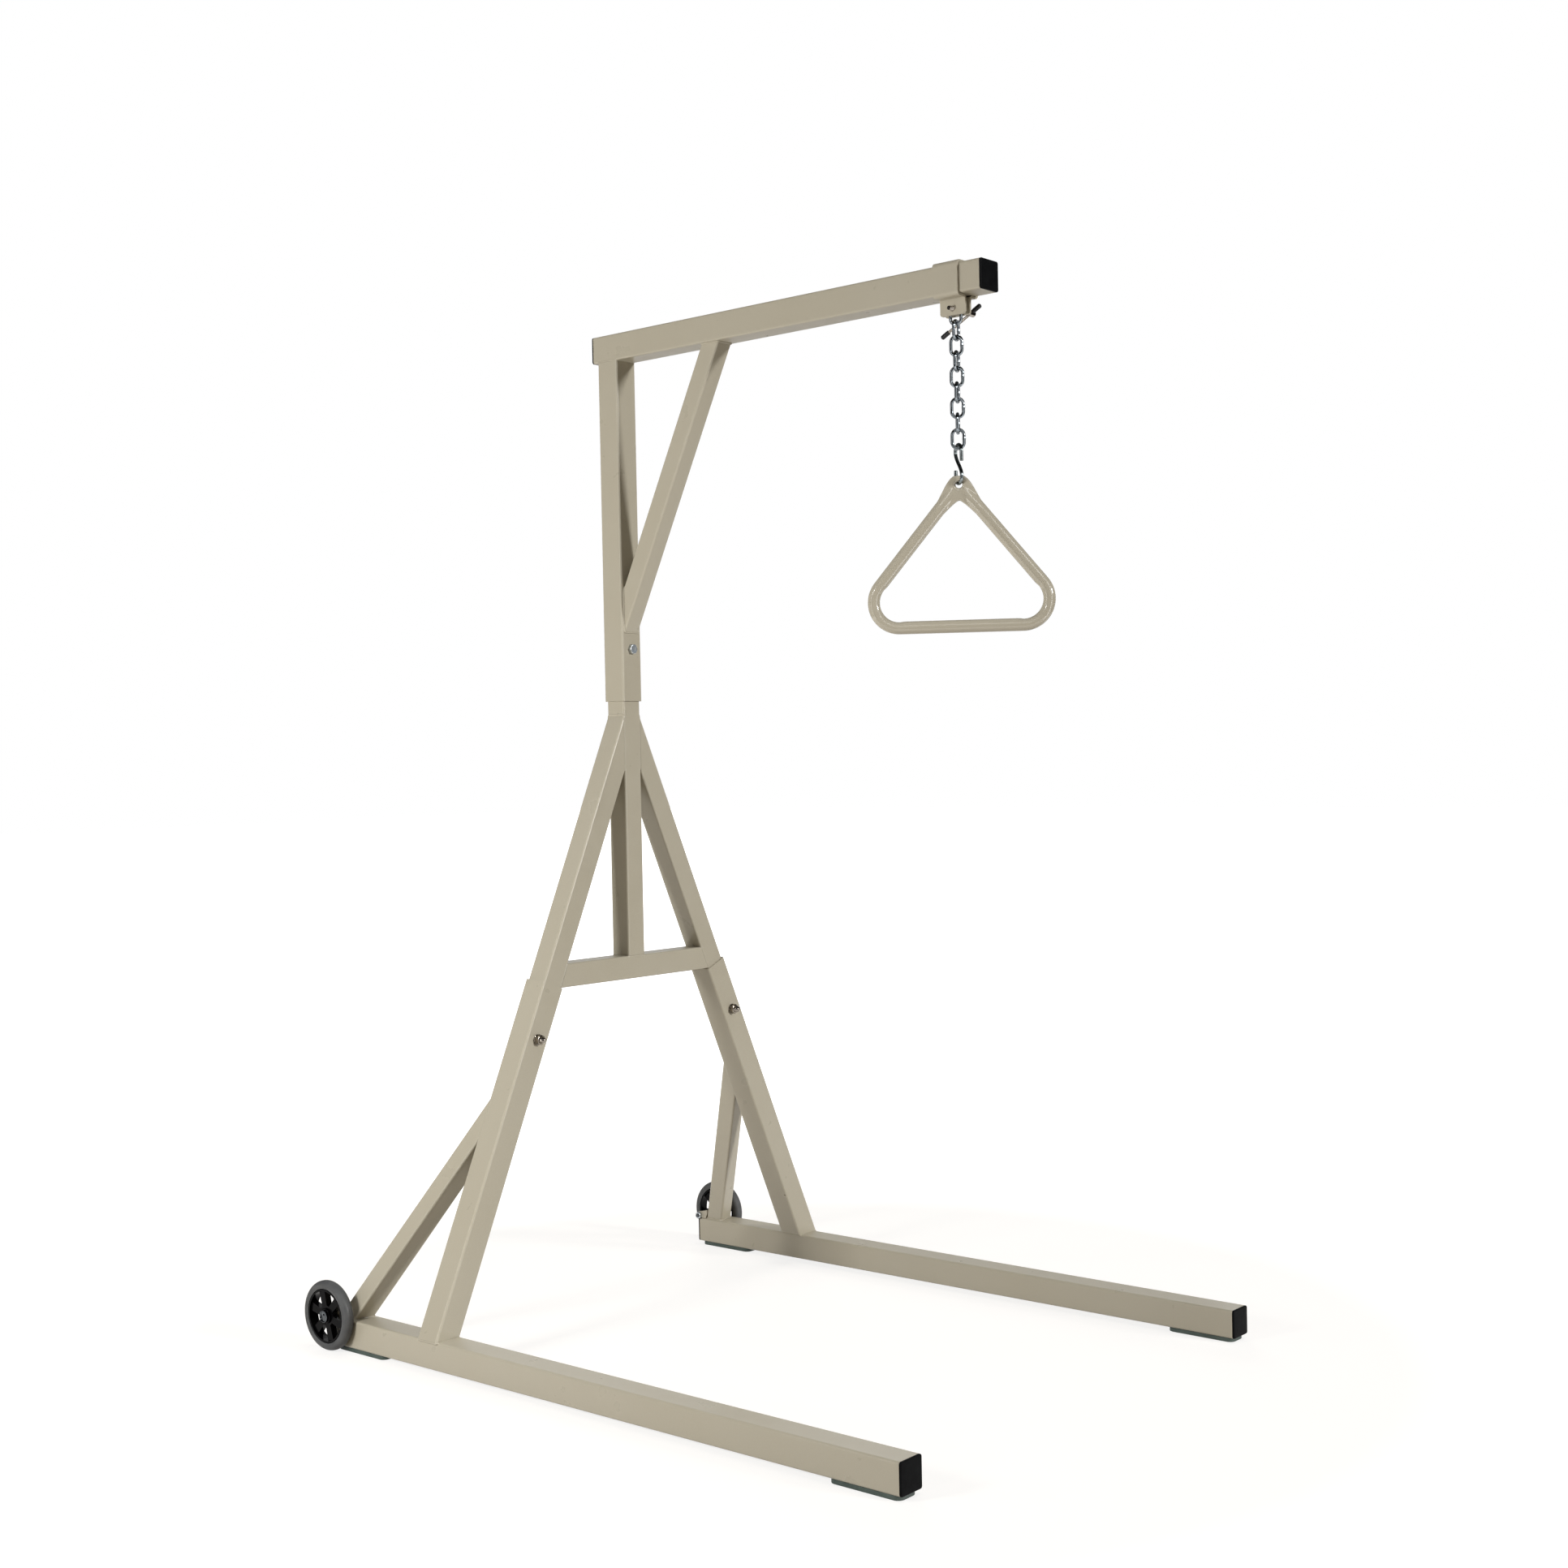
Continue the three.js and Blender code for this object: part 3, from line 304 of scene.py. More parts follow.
# Ways to lay a piece: its own Z axis along X, its Z axis along Y, and its XY plane upright in XZ
ALONG_X = Matrix(((0, 0, 1, 0), (1, 0, 0, 0), (0, 1, 0, 0), (0, 0, 0, 1)))
ALONG_Y = Matrix(((0, 1, 0, 0), (0, 0, 1, 0), (1, 0, 0, 0), (0, 0, 0, 1)))
UPRIGHT = Matrix(((1, 0, 0, 0), (0, 0, 1, 0), (0, 1, 0, 0), (0, 0, 0, 1)))
HALF_TURN = spin(pi, "X")
BAR_TURN = spin(pi / 2 - BAR_ANGLE, "Y")
HEX_SECTOR = pi / 3
HEX_ANGLES = around(72)


# Outlines and meshes, as (vertices, faces)

def arc(centre_x, centre_y, radius, start, end, steps, rise=None):
    """Points on an arc; a rise is the ellipse's own radius along Y."""
    y_radius = radius if rise is None else rise
    points = []
    for step in range(steps + 1):
        angle = start + (end - start) * step / steps
        points.append((centre_x + radius * cos(angle), centre_y + y_radius * sin(angle)))
    return points


def rectangle(x_low, y_low, x_high, y_high):
    return [(x_low, y_low), (x_high, y_low), (x_high, y_high), (x_low, y_high)]


def rounded_rectangle(x_side, y_side, radius, steps=CORNER_STEPS):
    x = x_side / 2 - radius
    y = y_side / 2 - radius
    quarter = pi / 2
    points = []
    for turn, (cx, cy) in enumerate(((x, y), (-x, y), (-x, -y), (x, -y))):
        points += arc(cx, cy, radius, turn * quarter, (turn + 1) * quarter, steps)
    return points


def at_height(outline, height):
    return [(x, y, height) for x, y in outline]


def circle(radius, height, angles=HEX_ANGLES):
    return [(radius * cos(angle), radius * sin(angle), height) for angle in angles]


def loft(rings, closed=False):
    """Quads between rings of equal length; round a ring of one point, a pole, they are triangles."""
    vertices = []
    starts = []
    for ring in rings:
        starts.append((len(vertices), len(ring)))
        vertices += [Vector(point) for point in ring]
    if closed:
        starts.append(starts[0])
    faces = []
    for (here, here_count), (there, there_count) in zip(starts, starts[1:]):
        for index in range(max(here_count, there_count)):
            after = index + 1
            corners = (here + index % here_count, here + after % here_count,
                       there + after % there_count, there + index % there_count)
            faces.append(tuple(dict.fromkeys(corners)))
    return vertices, faces


def turned(profile, sides=ROUND_SIDES):
    """Solid of revolution about Z, from points of radius and height; a closed profile makes a ring."""
    closed = profile[0] == profile[-1]
    points = profile[:-1] if closed else profile
    angles = around(sides)
    rings = [circle(radius, height, angles) if radius else [(0, 0, height)] for radius, height in points]
    return loft(rings, closed)


def rod(radius, start, end, edge=0, sides=ROUND_SIDES, bore=0):
    """Cylinder along Z, solid or bored through, its outer corners cut off by an edge."""
    wall = [(radius, start), (radius, end)]
    if edge:
        wall = [(radius - edge, start), (radius, start + edge), (radius, end - edge), (radius - edge, end)]
    profile = [(bore, start), *wall, (bore, end)]
    return turned([*profile, profile[0]] if bore else profile, sides)


def extruded(outline, start, end):
    """Prism along Z over an outline, with flat ends."""
    count = len(outline)
    vertices, faces = loft([at_height(outline, start), at_height(outline, end)])
    return vertices, [tuple(range(count - 1, -1, -1)), tuple(range(count, 2 * count)), *faces]


def sheet(outline, height=0):
    """One flat face over an outline."""
    return [Vector(point) for point in at_height(outline, height)], [tuple(range(len(outline)))]


def moved(geometry, matrix):
    vertices, faces = geometry
    return [matrix @ vertex for vertex in vertices], faces


def standing(outline, start, end):
    """Prism along Y over an outline in the XZ plane."""
    return moved(extruded(outline, start, end), UPRIGHT)


def joined(*geometries):
    vertices = []
    faces = []
    for part_vertices, part_faces in geometries:
        start = len(vertices)
        vertices += part_vertices
        faces += [tuple(start + index for index in face) for face in part_faces]
    return vertices, faces


def new_object(name, data):
    thing = bpy.data.objects.new(name, data)
    bpy.context.scene.collection.objects.link(thing)
    return thing


def object_from(name, geometry):
    vertices, faces = geometry
    mesh = bpy.data.meshes.new(name)
    mesh.from_pydata([tuple(vertex) for vertex in vertices], [], faces)
    edit = bmesh.new()
    edit.from_mesh(mesh)
    bmesh.ops.recalc_face_normals(edit, faces=edit.faces)
    edit.to_mesh(mesh)
    edit.free()
    return new_object(name, mesh)


def settle(thing):
    """Turns the modifiers so far into the object's own mesh."""
    graph = bpy.context.evaluated_depsgraph_get()
    mesh = bpy.data.meshes.new_from_object(thing.evaluated_get(graph))
    old = thing.data
    thing.modifiers.clear()
    thing.data = mesh
    bpy.data.meshes.remove(old)


def combine(thing, operation, *geometries):
    """Cuts, joins or intersects an object with other closed geometry."""
    for geometry in geometries:
        tool = object_from("tool", geometry)
        modifier = thing.modifiers.new("combine", "BOOLEAN")
        modifier.operation = operation
        modifier.solver = "EXACT"
        modifier.object = tool
        settle(thing)
        mesh = tool.data
        bpy.data.objects.remove(tool)
        bpy.data.meshes.remove(mesh)


def soften(thing, width, segments=2, angle=SHARP_ANGLE):
    modifier = thing.modifiers.new("edges", "BEVEL")
    modifier.width = width
    modifier.segments = segments
    modifier.limit_method = "ANGLE"
    modifier.angle_limit = angle
    modifier.miter_outer = "MITER_ARC"


def body_of_node(node):
    return body_of(frame["nodes"][node])[0]


def dress(thing, finish, body, *nodes):
    """Gives a piece its finish and lets it ride, in place of the CAD nodes that it stands for."""
    material, slot = finish
    thing.data.materials.clear()
    thing.data.materials.append(material)
    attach(thing, body)
    if nodes:
        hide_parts(*nodes)


def fine(node, geometry):
    return object_from(f"{node}_fine", geometry)


def complete(thing, node, finish, edge=0, angle=SHARP_ANGLE):
    """Softens the edges, shades the faces smooth but for the sharp ones, and dresses the piece."""
    if edge:
        soften(thing, edge)
    settle(thing)
    thing.data.shade_smooth()
    thing.data.set_sharp_from_angle(angle=angle)
    normals = thing.modifiers.new("normals", "WEIGHTED_NORMAL")
    normals.keep_sharp = True
    dress(thing, finish, body_of_node(node), node)


def stand_in(node, matrix, geometry, finish, edge=0):
    """A fine piece for one CAD node."""
    complete(fine(node, moved(geometry, matrix)), node, finish, edge)


# Materials

def fill(tree, node, sockets):
    """Links each socket to an output, or gives it a value."""
    for key, value in sockets.items():
        if isinstance(value, bpy.types.NodeSocket):
            tree.links.new(value, node.inputs[key])
        else:
            node.inputs[key].default_value = value


def add_node(tree, kind, sockets, **settings):
    node = tree.nodes.new(kind)
    for key, value in settings.items():
        setattr(node, key, value)
    fill(tree, node, sockets)
    return node


class Nodes:
    """A short way to write a material's nodes."""

    def __init__(self, name):
        self.material = bpy.data.materials.new(name)
        self.material.use_nodes = True
        self.tree = self.material.node_tree
        self.shader = self.tree.nodes["Principled BSDF"]
        self.place = self.tree.nodes.new("ShaderNodeTexCoord").outputs["Object"]

    def noise(self, scale, detail=3, roughness=0.5):
        sockets = {"Vector": self.place, "Scale": scale, "Detail": detail, "Roughness": roughness}
        return add_node(self.tree, "ShaderNodeTexNoise", sockets).outputs["Fac"]

    def span(self, source, low, high, from_low=0.3, from_high=0.7):
        sockets = {"Value": source, "From Min": from_low, "From Max": from_high,
                   "To Min": low, "To Max": high}
        return add_node(self.tree, "ShaderNodeMapRange", sockets).outputs["Result"]

    def blend(self, factor, first, second):
        """Mix of two colours, each a tuple or an output, by a factor output."""
        sockets = {"Factor": factor, 6: first, 7: second}
        return add_node(self.tree, "ShaderNodeMix", sockets, data_type="RGBA").outputs[2]

    def mottle(self, first, second, *texture):
        """Two colours in soft patches."""
        return self.blend(self.span(self.noise(*texture), 0, 1), first, second)

    def bump(self, height, strength, distance, **below):
        sockets = {"Height": height, "Strength": strength, "Distance": distance, **below}
        return add_node(self.tree, "ShaderNodeBump", sockets).outputs["Normal"]

    def painted_crevice_shade(self, shade_colour, base, distance, reach=0.55):
        """Painted shade: darkens a colour where surfaces meet closely, where shade falls."""
        occlusion = add_node(self.tree, "ShaderNodeAmbientOcclusion", {"Distance": distance}, samples=6)
        return self.blend(self.span(occlusion.outputs["AO"], 0, 1, 0, reach), shade_colour, base)

    def set(self, colour, roughness, **others):
        fill(self.tree, self.shader, {"Base Color": colour, "Roughness": roughness, **others})


def colour(*shown):
    """A colour as the picture shows it, red, green and blue from 0 to 255, as linear light."""
    shares = [value / 255 for value in shown]
    return *(share / 12.92 if share <= 0.04045 else ((share + 0.055) / 1.055) ** 2.4 for share in shares), 1


def powder_coat(name, main, warm, cool, rough, peel, peel_scale):
    """Sprayed paint with orange peel, faint patches and painted shade in its crevices, and its slot."""
    nodes = Nodes(name)
    patches = nodes.mottle(main, warm, 5, 4)
    grained = nodes.mottle(patches, cool, 900, 2)
    # Painted shade: the paint darkens to a warm brown where surfaces meet closely
    shaded = nodes.painted_crevice_shade(colour(134, 122, 98), grained, 5 * MM)
    peel_bump = nodes.bump(nodes.noise(peel_scale, 2, 0.4), peel, 0.05 * MM)
    ripple = nodes.bump(nodes.noise(38, 2), 0.04, 0.4 * MM, Normal=peel_bump)
    nodes.set(shaded, nodes.span(nodes.noise(24, 4), *rough), Normal=ripple)
    return nodes.material, name


def moulded_plastic(name, main, worn, rough, grain, specular):
    nodes = Nodes(name)
    mixed = nodes.mottle(main, worn, 90, 4)
    bump = nodes.bump(nodes.noise(1400, 2), grain, 0.1 * MM)
    dust = nodes.span(nodes.noise(18, 5, 0.6), *rough)
    nodes.set(mixed, dust, Normal=bump, **{"Specular IOR Level": specular})
    return nodes.material, name


def rubber(name, main, dusty, grain):
    """Matt rubber with a dusty bloom and fine grain."""
    nodes = Nodes(name)
    bloom = nodes.mottle(main, dusty, 30, 5, 0.6)
    grain_bump = nodes.bump(nodes.noise(900, 3), grain, 0.15 * MM)
    coarse = nodes.bump(nodes.noise(70, 3), 0.12, 0.5 * MM, Normal=grain_bump)
    nodes.set(bloom, nodes.span(nodes.noise(50, 3), 0.5, 0.72), Normal=coarse)
    return nodes.material, name


def plated_metal(name, main, tint, rough, grain, slot="zinc_hardware"):
    """Plated steel with clouds in the plating and fine marks."""
    nodes = Nodes(name)
    clouds = nodes.mottle(main, tint, 110, 4)
    marks = nodes.noise(700, 4, 0.65)
    bump = nodes.bump(marks, grain, 0.06 * MM)
    # Painted shade: the plating darkens to near black where surfaces meet closely
    shaded = nodes.painted_crevice_shade(colour(40, 38, 34), clouds, 2 * MM)
    nodes.set(shaded, nodes.span(marks, *rough), Normal=bump, Metallic=1)
    return nodes.material, slot


# Finishes, each a material and its slot
paint = powder_coat("frame_paint", colour(181, 174, 156), colour(177, 169, 149), colour(183, 177, 160),
                    rough=(0.27, 0.36), peel=0.16, peel_scale=420)
enamel = powder_coat("handle_enamel", colour(186, 179, 161), colour(181, 173, 153), colour(188, 182, 166),
                     rough=(0.1, 0.16), peel=0.05, peel_scale=170)
cap_plastic = moulded_plastic("end_cap", colour(16, 16, 17), colour(22, 23, 24), (0.28, 0.38), 0.3, 0.02)
hub_plastic = moulded_plastic("wheel_hub", colour(6, 6, 7), colour(9, 9, 10), (0.16, 0.26), 0.08, 0.06)
vinyl = moulded_plastic("bar_tip", colour(14, 14, 15), colour(22, 22, 23), (0.22, 0.34), 0.2, 0.35)
pad_rubber = rubber("floor_pad", colour(64, 76, 71), colour(80, 92, 86), 0.25)
tyre_rubber = rubber("wheel_tyre", colour(70, 71, 72), colour(86, 87, 87), 0.2)
zinc = plated_metal("zinc_hardware", colour(196, 204, 211), colour(206, 208, 202), (0.26, 0.42), 0.14)
dark_zinc = plated_metal("dark_zinc", colour(158, 150, 140), colour(128, 121, 112), (0.12, 0.22), 0.16)
axle_steel = plated_metal("axle_steel", colour(104, 108, 111), colour(78, 82, 85), (0.14, 0.24), 0.2)
hook_steel = plated_metal("hook_steel", colour(134, 140, 140), colour(110, 116, 118), (0.1, 0.2), 0.25)
chrome = plated_metal("chain_chrome", colour(138, 143, 147), colour(120, 126, 130), (0.05, 0.13), 0.12,
                      "chain_chrome")


# Tubes, caps and welds

def plane_on(matrix, point, normal):
    """A plane, as (point, normal), from its place on a piece that a matrix lays."""
    return matrix @ Vector(point), matrix.to_3x3() @ normal


def level(height):
    return Vector((0, 0, height)), UP


def facing(x):
    return Vector((x, 0, 0)), FORWARD


def trimmed(matrix, outline, plane):
    """An outline's points, moved along the matrix's Z onto a plane."""
    origin, normal = plane
    axis = matrix.to_3x3() @ UP
    points = [matrix @ Vector((x, y, 0)) for x, y in outline]
    return [point + axis * ((origin - point).dot(normal) / axis.dot(normal)) for point in points]


def tube_shell(matrix, side, start, end):
    """Hollow square tube along the matrix's Z, between two planes."""
    rings = []
    for inset, planes in ((0, (start, end)), (TUBE_WALL, (end, start))):
        outline = rounded_rectangle(side - 2 * inset, side - 2 * inset, TUBE_CORNER - inset)
        rings += [trimmed(matrix, outline, plane) for plane in planes]
    return loft(rings, closed=True)


def tube(node, matrix, side, start, end):
    complete(fine(node, tube_shell(matrix, side, start, end)), node, paint, CUT_EDGE)


def even_points(points, step):
    """The same closed loop with its points about a step apart."""
    following = points[1:] + points[:1]
    lengths = [(there - here).length for here, there in zip(points, following)]
    count = round(sum(lengths) / step)
    spacing = sum(lengths) / count
    result = []
    index = 0
    passed = 0
    for number in range(count):
        target = number * spacing
        while passed + lengths[index] < target:
            passed += lengths[index]
            index += 1
        result.append(points[index].lerp(following[index], (target - passed) / lengths[index]))
    return result


def weld(name, matrix, x_side, y_side, plane, radius=FILLET_BEAD):
    """Painted weld bead round the end of a tube; a side narrower than the tube lies flush."""
    normal = plane[1]
    outline = rounded_rectangle(x_side, y_side, TUBE_CORNER - radius / 2)
    points = even_points(trimmed(matrix, outline, plane), BEAD_STEP)
    rings = []
    for index, point in enumerate(points):
        beat = abs(sin(pi * index * BEAD_STEP / BEAD_PITCH))
        wander = noise.noise(point * BEAD_WANDER_SCALE)
        local = radius * (BEAD_LOW + BEAD_RIPPLE * beat + BEAD_WANDER * wander)
        tangent = (points[(index + 1) % len(points)] - points[index - 1]).normalized()
        out = tangent.cross(normal).normalized()
        rings.append([point + local * (out * cos(angle) + normal * sin(angle))
                      for angle in around(BEAD_SIDES)])
    bead = object_from(name, loft(rings, closed=True))
    bead.data.shade_smooth()
    dress(bead, paint, "frame")


def filler(name, matrix, x_side, y_side, plane, toward):
    """Weld bead moved into the tube that it joins, to fill the groove at that tube's rounded edge."""
    origin, normal = plane
    sunk = origin + normal * (FILLER_SINK * toward)
    weld(name, matrix, x_side, y_side, (sunk, normal), FILLER_BEAD)


def flush(side):
    """The side of a bead's path that leaves the bead almost level with a tube's faces."""
    return side - 2 * (FILLER_BEAD - FILLER_PROUD)


def end_cap(node, matrix):
    """Moulded cap: a crowned plate over the tube's end, and its plug inside."""
    inside = CAP_THICKNESS - side_of(node, 0)
    plug = outer_tube - 2 * TUBE_WALL - CAP_PLAY
    layers = [(plug, TUBE_CORNER - TUBE_WALL, inside), (plug, TUBE_CORNER - TUBE_WALL, SEAT_GAP),
              (outer_tube, TUBE_CORNER, SEAT_GAP)]
    for x, y in arc(0, CAP_THICKNESS - CAP_CROWN - PLASTIC_EDGE, PLASTIC_EDGE, 0, pi / 2, CORNER_STEPS):
        inset = PLASTIC_EDGE - x
        layers.append((outer_tube - 2 * inset, TUBE_CORNER - inset, y))
    crown = outer_tube - 4 * PLASTIC_EDGE
    layers += [(crown, TUBE_CORNER, CAP_THICKNESS - CAP_CROWN / 2), (crown / 2, TUBE_CORNER, CAP_THICKNESS)]
    rings = [at_height(rounded_rectangle(side, side, corner), height) for side, corner, height in layers]
    rings = [[(0, 0, inside)], *rings, [(0, 0, CAP_THICKNESS)]]
    stand_in(node, matrix, loft(rings), cap_plastic)


def capped_tube(node, y):
    """Level tube along X with a cap on each end."""
    low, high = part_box(node)
    centre = (low.z + high.z) / 2
    tube(node, shift(0, y, centre) @ ALONG_X, outer_tube, facing(low.x), facing(high.x))
    end_cap(f"{node}_front_cap", shift(high.x, y, centre) @ ALONG_X)
    end_cap(f"{node}_rear_cap", shift(low.x, y, centre) @ ALONG_X @ HALF_TURN)


def leg_matrix(side):
    """Up the slanted leg from the rail's top, with X forward."""
    slant = atan2(rail_y, LEG_MEET_HEIGHT - rail_top)
    return shift(mast_x, side * rail_y, rail_top) @ spin(side * slant, "X")


def brace_matrix(leg):
    turn = spin(atan2(BASE_BRACE_REACH, BASE_BRACE_TOP), "Y")
    return leg @ shift(-BASE_BRACE_REACH, 0, 0) @ turn


def floor_pad(node):
    low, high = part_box(node)
    middle = (low + high) / 2
    outline = rounded_rectangle(high.x - low.x, high.y - low.y, PAD_CORNER, 2 * CORNER_STEPS)
    stand_in(node, shift(middle.x, middle.y, 0), extruded(outline, low.z, high.z), pad_rubber, PAD_EDGE)


def leg_sleeve(hand, side, leg):
    node = f"{hand}_leg_sleeve"
    top = plane_on(leg, (0, 0, SLEEVE_LENGTH), UP)
    sleeve = fine(node, tube_shell(leg, outer_tube, level(rail_top + SEAT_GAP), top))
    vent = leg @ shift(outer_tube / 2 - VENT_INSET, -side * outer_tube / 2, VENT_ALONG) @ ALONG_Y
    combine(sleeve, "DIFFERENCE", moved(rod(VENT_RADIUS, -OVERRUN, OVERRUN), vent))
    complete(sleeve, node, paint, CUT_EDGE)
    filler(f"{hand}_leg_weld", leg, outer_tube, flush(outer_tube), level(rail_top), -1)


def inner_leg(hand, side, leg):
    post_side = (Vector((mast_x, side * (inner_tube / 2 + SEAT_GAP), 0)), SIDEWAYS)
    start = plane_on(leg, (0, 0, SLEEVE_LENGTH - INNER_LEG_INSERTION), UP)
    tube(f"{hand}_inner_leg", leg, inner_tube, start, post_side)
    filler(f"{hand}_apex_weld", leg, flush(inner_tube), inner_tube, post_side, -side)


def welded_brace(node, weld_name, matrix, foot, head):
    """Brace between two planes, with a weld round each end."""
    tube(node, matrix, brace_tube, foot, head)
    weld(f"{weld_name}_foot_weld", matrix, brace_tube, brace_tube, foot)
    weld(f"{weld_name}_head_weld", matrix, brace_tube, brace_tube, head)


# Fasteners

def hexagon_rings(across_flats, start, end):
    """Rings of a hexagonal body from start to end, with its end corners turned off to a circle."""
    top = across_flats / 2 * HEX_TOP_SHARE
    toward = 1 if end > start else -1
    walls = []
    shoulders = []
    for angle in HEX_ANGLES:
        radius = across_flats / 2 / cos((angle % HEX_SECTOR) - HEX_SECTOR / 2)
        chamfer = (radius - top) * tan(HEX_CHAMFER)
        x = radius * cos(angle)
        y = radius * sin(angle)
        walls.append((x, y, start))
        shoulders.append((x, y, end - toward * chamfer))
    return [walls, shoulders, circle(top, end)]


def hex_bolt(node, matrix, length):
    seat = -SEAT_GAP
    head = seat - BOLT_HEAD_HEIGHT
    dish = head + BOLT_DISH_DEPTH
    rings = [[(0, 0, length)], circle(BOLT_RADIUS, length), circle(BOLT_RADIUS, seat),
             *hexagon_rings(BOLT_ACROSS, seat, head),
             circle(BOLT_ACROSS * BOLT_DISH_SHARE, dish), [(0, 0, dish)]]
    stand_in(node, matrix, loft(rings), zinc, BOLT_DISH_DEPTH)


def acorn_nut(node, matrix):
    dome = arc(0, NUT_HEIGHT, DOME_RADIUS, 0, pi / 2, DOME_STEPS, DOME_HEIGHT)[:-1]
    rings = [[(0, 0, 0)], *hexagon_rings(BOLT_ACROSS, 0, NUT_HEIGHT),
             *(circle(radius, height) for radius, height in dome), [(0, 0, NUT_HEIGHT + DOME_HEIGHT)]]
    stand_in(node, matrix, loft(rings), dark_zinc)


def washer(node, matrix, outer, inner, thickness, finish=zinc):
    stand_in(node, matrix, rod(outer, 0, thickness, bore=inner), finish, FINE_EDGE)


def leg_fasteners(hand, leg):
    front = outer_tube / 2

    def seat(x):
        return leg @ shift(x, 0, SLEEVE_LENGTH - LEG_BOLT_BELOW_TOP) @ ALONG_X

    hex_bolt(f"{hand}_leg_bolt", seat(-front),
             outer_tube + WASHER_THICKNESS + NUT_THREAD_DEPTH - 2 * SEAT_GAP)
    washer(f"{hand}_leg_washer", seat(front + SEAT_GAP), WASHER_RADIUS,
           BOLT_RADIUS + SEAT_GAP, WASHER_THICKNESS, dark_zinc)
    acorn_nut(f"{hand}_leg_nut", seat(front + WASHER_THICKNESS + 2 * SEAT_GAP))


# Wheels

def axle_bracket(hand, side, leg):
    node = f"{hand}_axle_bracket"
    y = side * rail_y
    half = outer_tube / 2
    bottom = rail_top + SEAT_GAP
    back = mast_x - axle_reach
    front = back + CHEEK_LENGTH
    outline = [(front, bottom), (front, bottom + CHEEK_RISE),
               *arc(back, axle_height, CHEEK_NOSE, pi / 2, pi, BEND_STEPS // 2),
               (back - CHEEK_NOSE, bottom)]
    right, left = (standing(outline, y + start, y + start + CHEEK_THICKNESS)
                   for start in (-half, half - CHEEK_THICKNESS))
    web = standing(rectangle(front - WEB_LENGTH, bottom, front, bottom + WEB_RISE),
                   y - half + CHEEK_THICKNESS / 2, y + half - CHEEK_THICKNESS / 2)
    clear = brace_tube / 2 + SEAT_GAP
    block = extruded(rectangle(-clear, -outer_tube, outer_tube, outer_tube), -outer_tube, outer_tube)
    bore = rod(AXLE_RADIUS + SEAT_GAP, -outer_tube, outer_tube)
    bracket = fine(node, right)
    combine(bracket, "UNION", left, web)
    combine(bracket, "DIFFERENCE", moved(block, brace_matrix(leg)),
            moved(bore, shift(back, y, axle_height) @ ALONG_Y))
    complete(bracket, node, paint, CUT_EDGE)


def tyre(node, matrix):
    """Solid tyre with a rounded tread, a mould line round its middle and a lip at the rim."""
    seat = HUB_RIM_RADIUS + TYRE_CLEARANCE
    middle = HUB_WIDTH / 2
    crown = wheel_radius - seat - TYRE_SHOULDER
    profile = [(seat, middle - TYRE_SEAT_WIDTH / 2)]
    steps = 2 * BEND_STEPS
    for step in range(steps + 1):
        angle = pi * step / steps
        seam = -TYRE_SEAM if abs(step - steps / 2) == 1 else 0
        radius = seat + TYRE_SHOULDER + crown * sin(angle) ** TREAD_POWER + seam
        profile.append((radius, middle - TYRE_WIDTH / 2 * cos(angle)))
    profile += [(seat, middle + TYRE_SEAT_WIDTH / 2), profile[0]]
    stand_in(node, matrix, turned(profile, WHEEL_SIDES), tyre_rubber)


def hub(node, matrix):
    """Moulded hub: a rim, a boss and a web with windows between its spokes."""
    middle = HUB_WIDTH / 2
    inner = HUB_RIM_RADIUS - HUB_RIM_WALL
    rim = rod(HUB_RIM_RADIUS, middle - HUB_RIM_WIDTH / 2, middle + HUB_RIM_WIDTH / 2,
              HUB_LIP, WHEEL_SIDES, inner)
    web = rod(HUB_RIM_RADIUS - HUB_RIM_WALL / 2, middle - HUB_WEB_WIDTH / 2, middle + HUB_WEB_WIDTH / 2,
              sides=WHEEL_SIDES)
    windows = []
    half = WINDOW_SPAN / 2
    for angle in around(WINDOW_COUNT):
        centre = WINDOW_PHASE + angle
        outline = arc(0, 0, inner, centre - half, centre + half, WINDOW_STEPS)
        outline += arc(0, 0, WINDOW_INNER, centre + half / 2, centre - half / 2, WINDOW_STEPS // 2)
        windows.append(extruded(outline, -OVERRUN, HUB_WIDTH + OVERRUN))
    thing = fine(node, web)
    combine(thing, "DIFFERENCE", *windows)
    combine(thing, "UNION", rim, rod(HUB_BOSS_RADIUS, 0, HUB_WIDTH, HUB_LIP))
    combine(thing, "DIFFERENCE", rod(AXLE_RADIUS + SEAT_GAP, -OVERRUN, HUB_WIDTH + OVERRUN))
    thing.data.transform(matrix)
    complete(thing, node, hub_plastic, TURNED_EDGE)


def axle_bolt(node, matrix):
    """Axle with a dished head: a thin rim, a hollow, and the axle's rounded end in the middle."""
    start = -outer_tube - AXLE_NUT_HEIGHT - AXLE_TAIL - SEAT_GAP
    seat = AXLE_WASHER_THICKNESS + HUB_WIDTH + 3 * SEAT_GAP
    top = seat + AXLE_HEAD_THICKNESS
    hollow = top - AXLE_SOCKET_DEPTH
    edge = TURNED_EDGE
    profile = [(0, start), (AXLE_RADIUS - edge, start), (AXLE_RADIUS, start + edge), (AXLE_RADIUS, seat),
               (AXLE_HEAD_RADIUS - edge, seat), (AXLE_HEAD_RADIUS, seat + edge),
               (AXLE_HEAD_RADIUS, top - edge), (AXLE_HEAD_RADIUS - edge, top),
               (AXLE_HEAD_RADIUS - 2 * edge, top), (AXLE_HEAD_RADIUS - 4 * edge, hollow),
               (AXLE_SOCKET_RADIUS, hollow), (AXLE_RADIUS, hollow + edge),
               (AXLE_RADIUS * AXLE_POINT_SHARE, top - 1.5 * edge), (0, top - edge)]
    stand_in(node, matrix, turned(profile), axle_steel, AXLE_BOLT_EDGE)


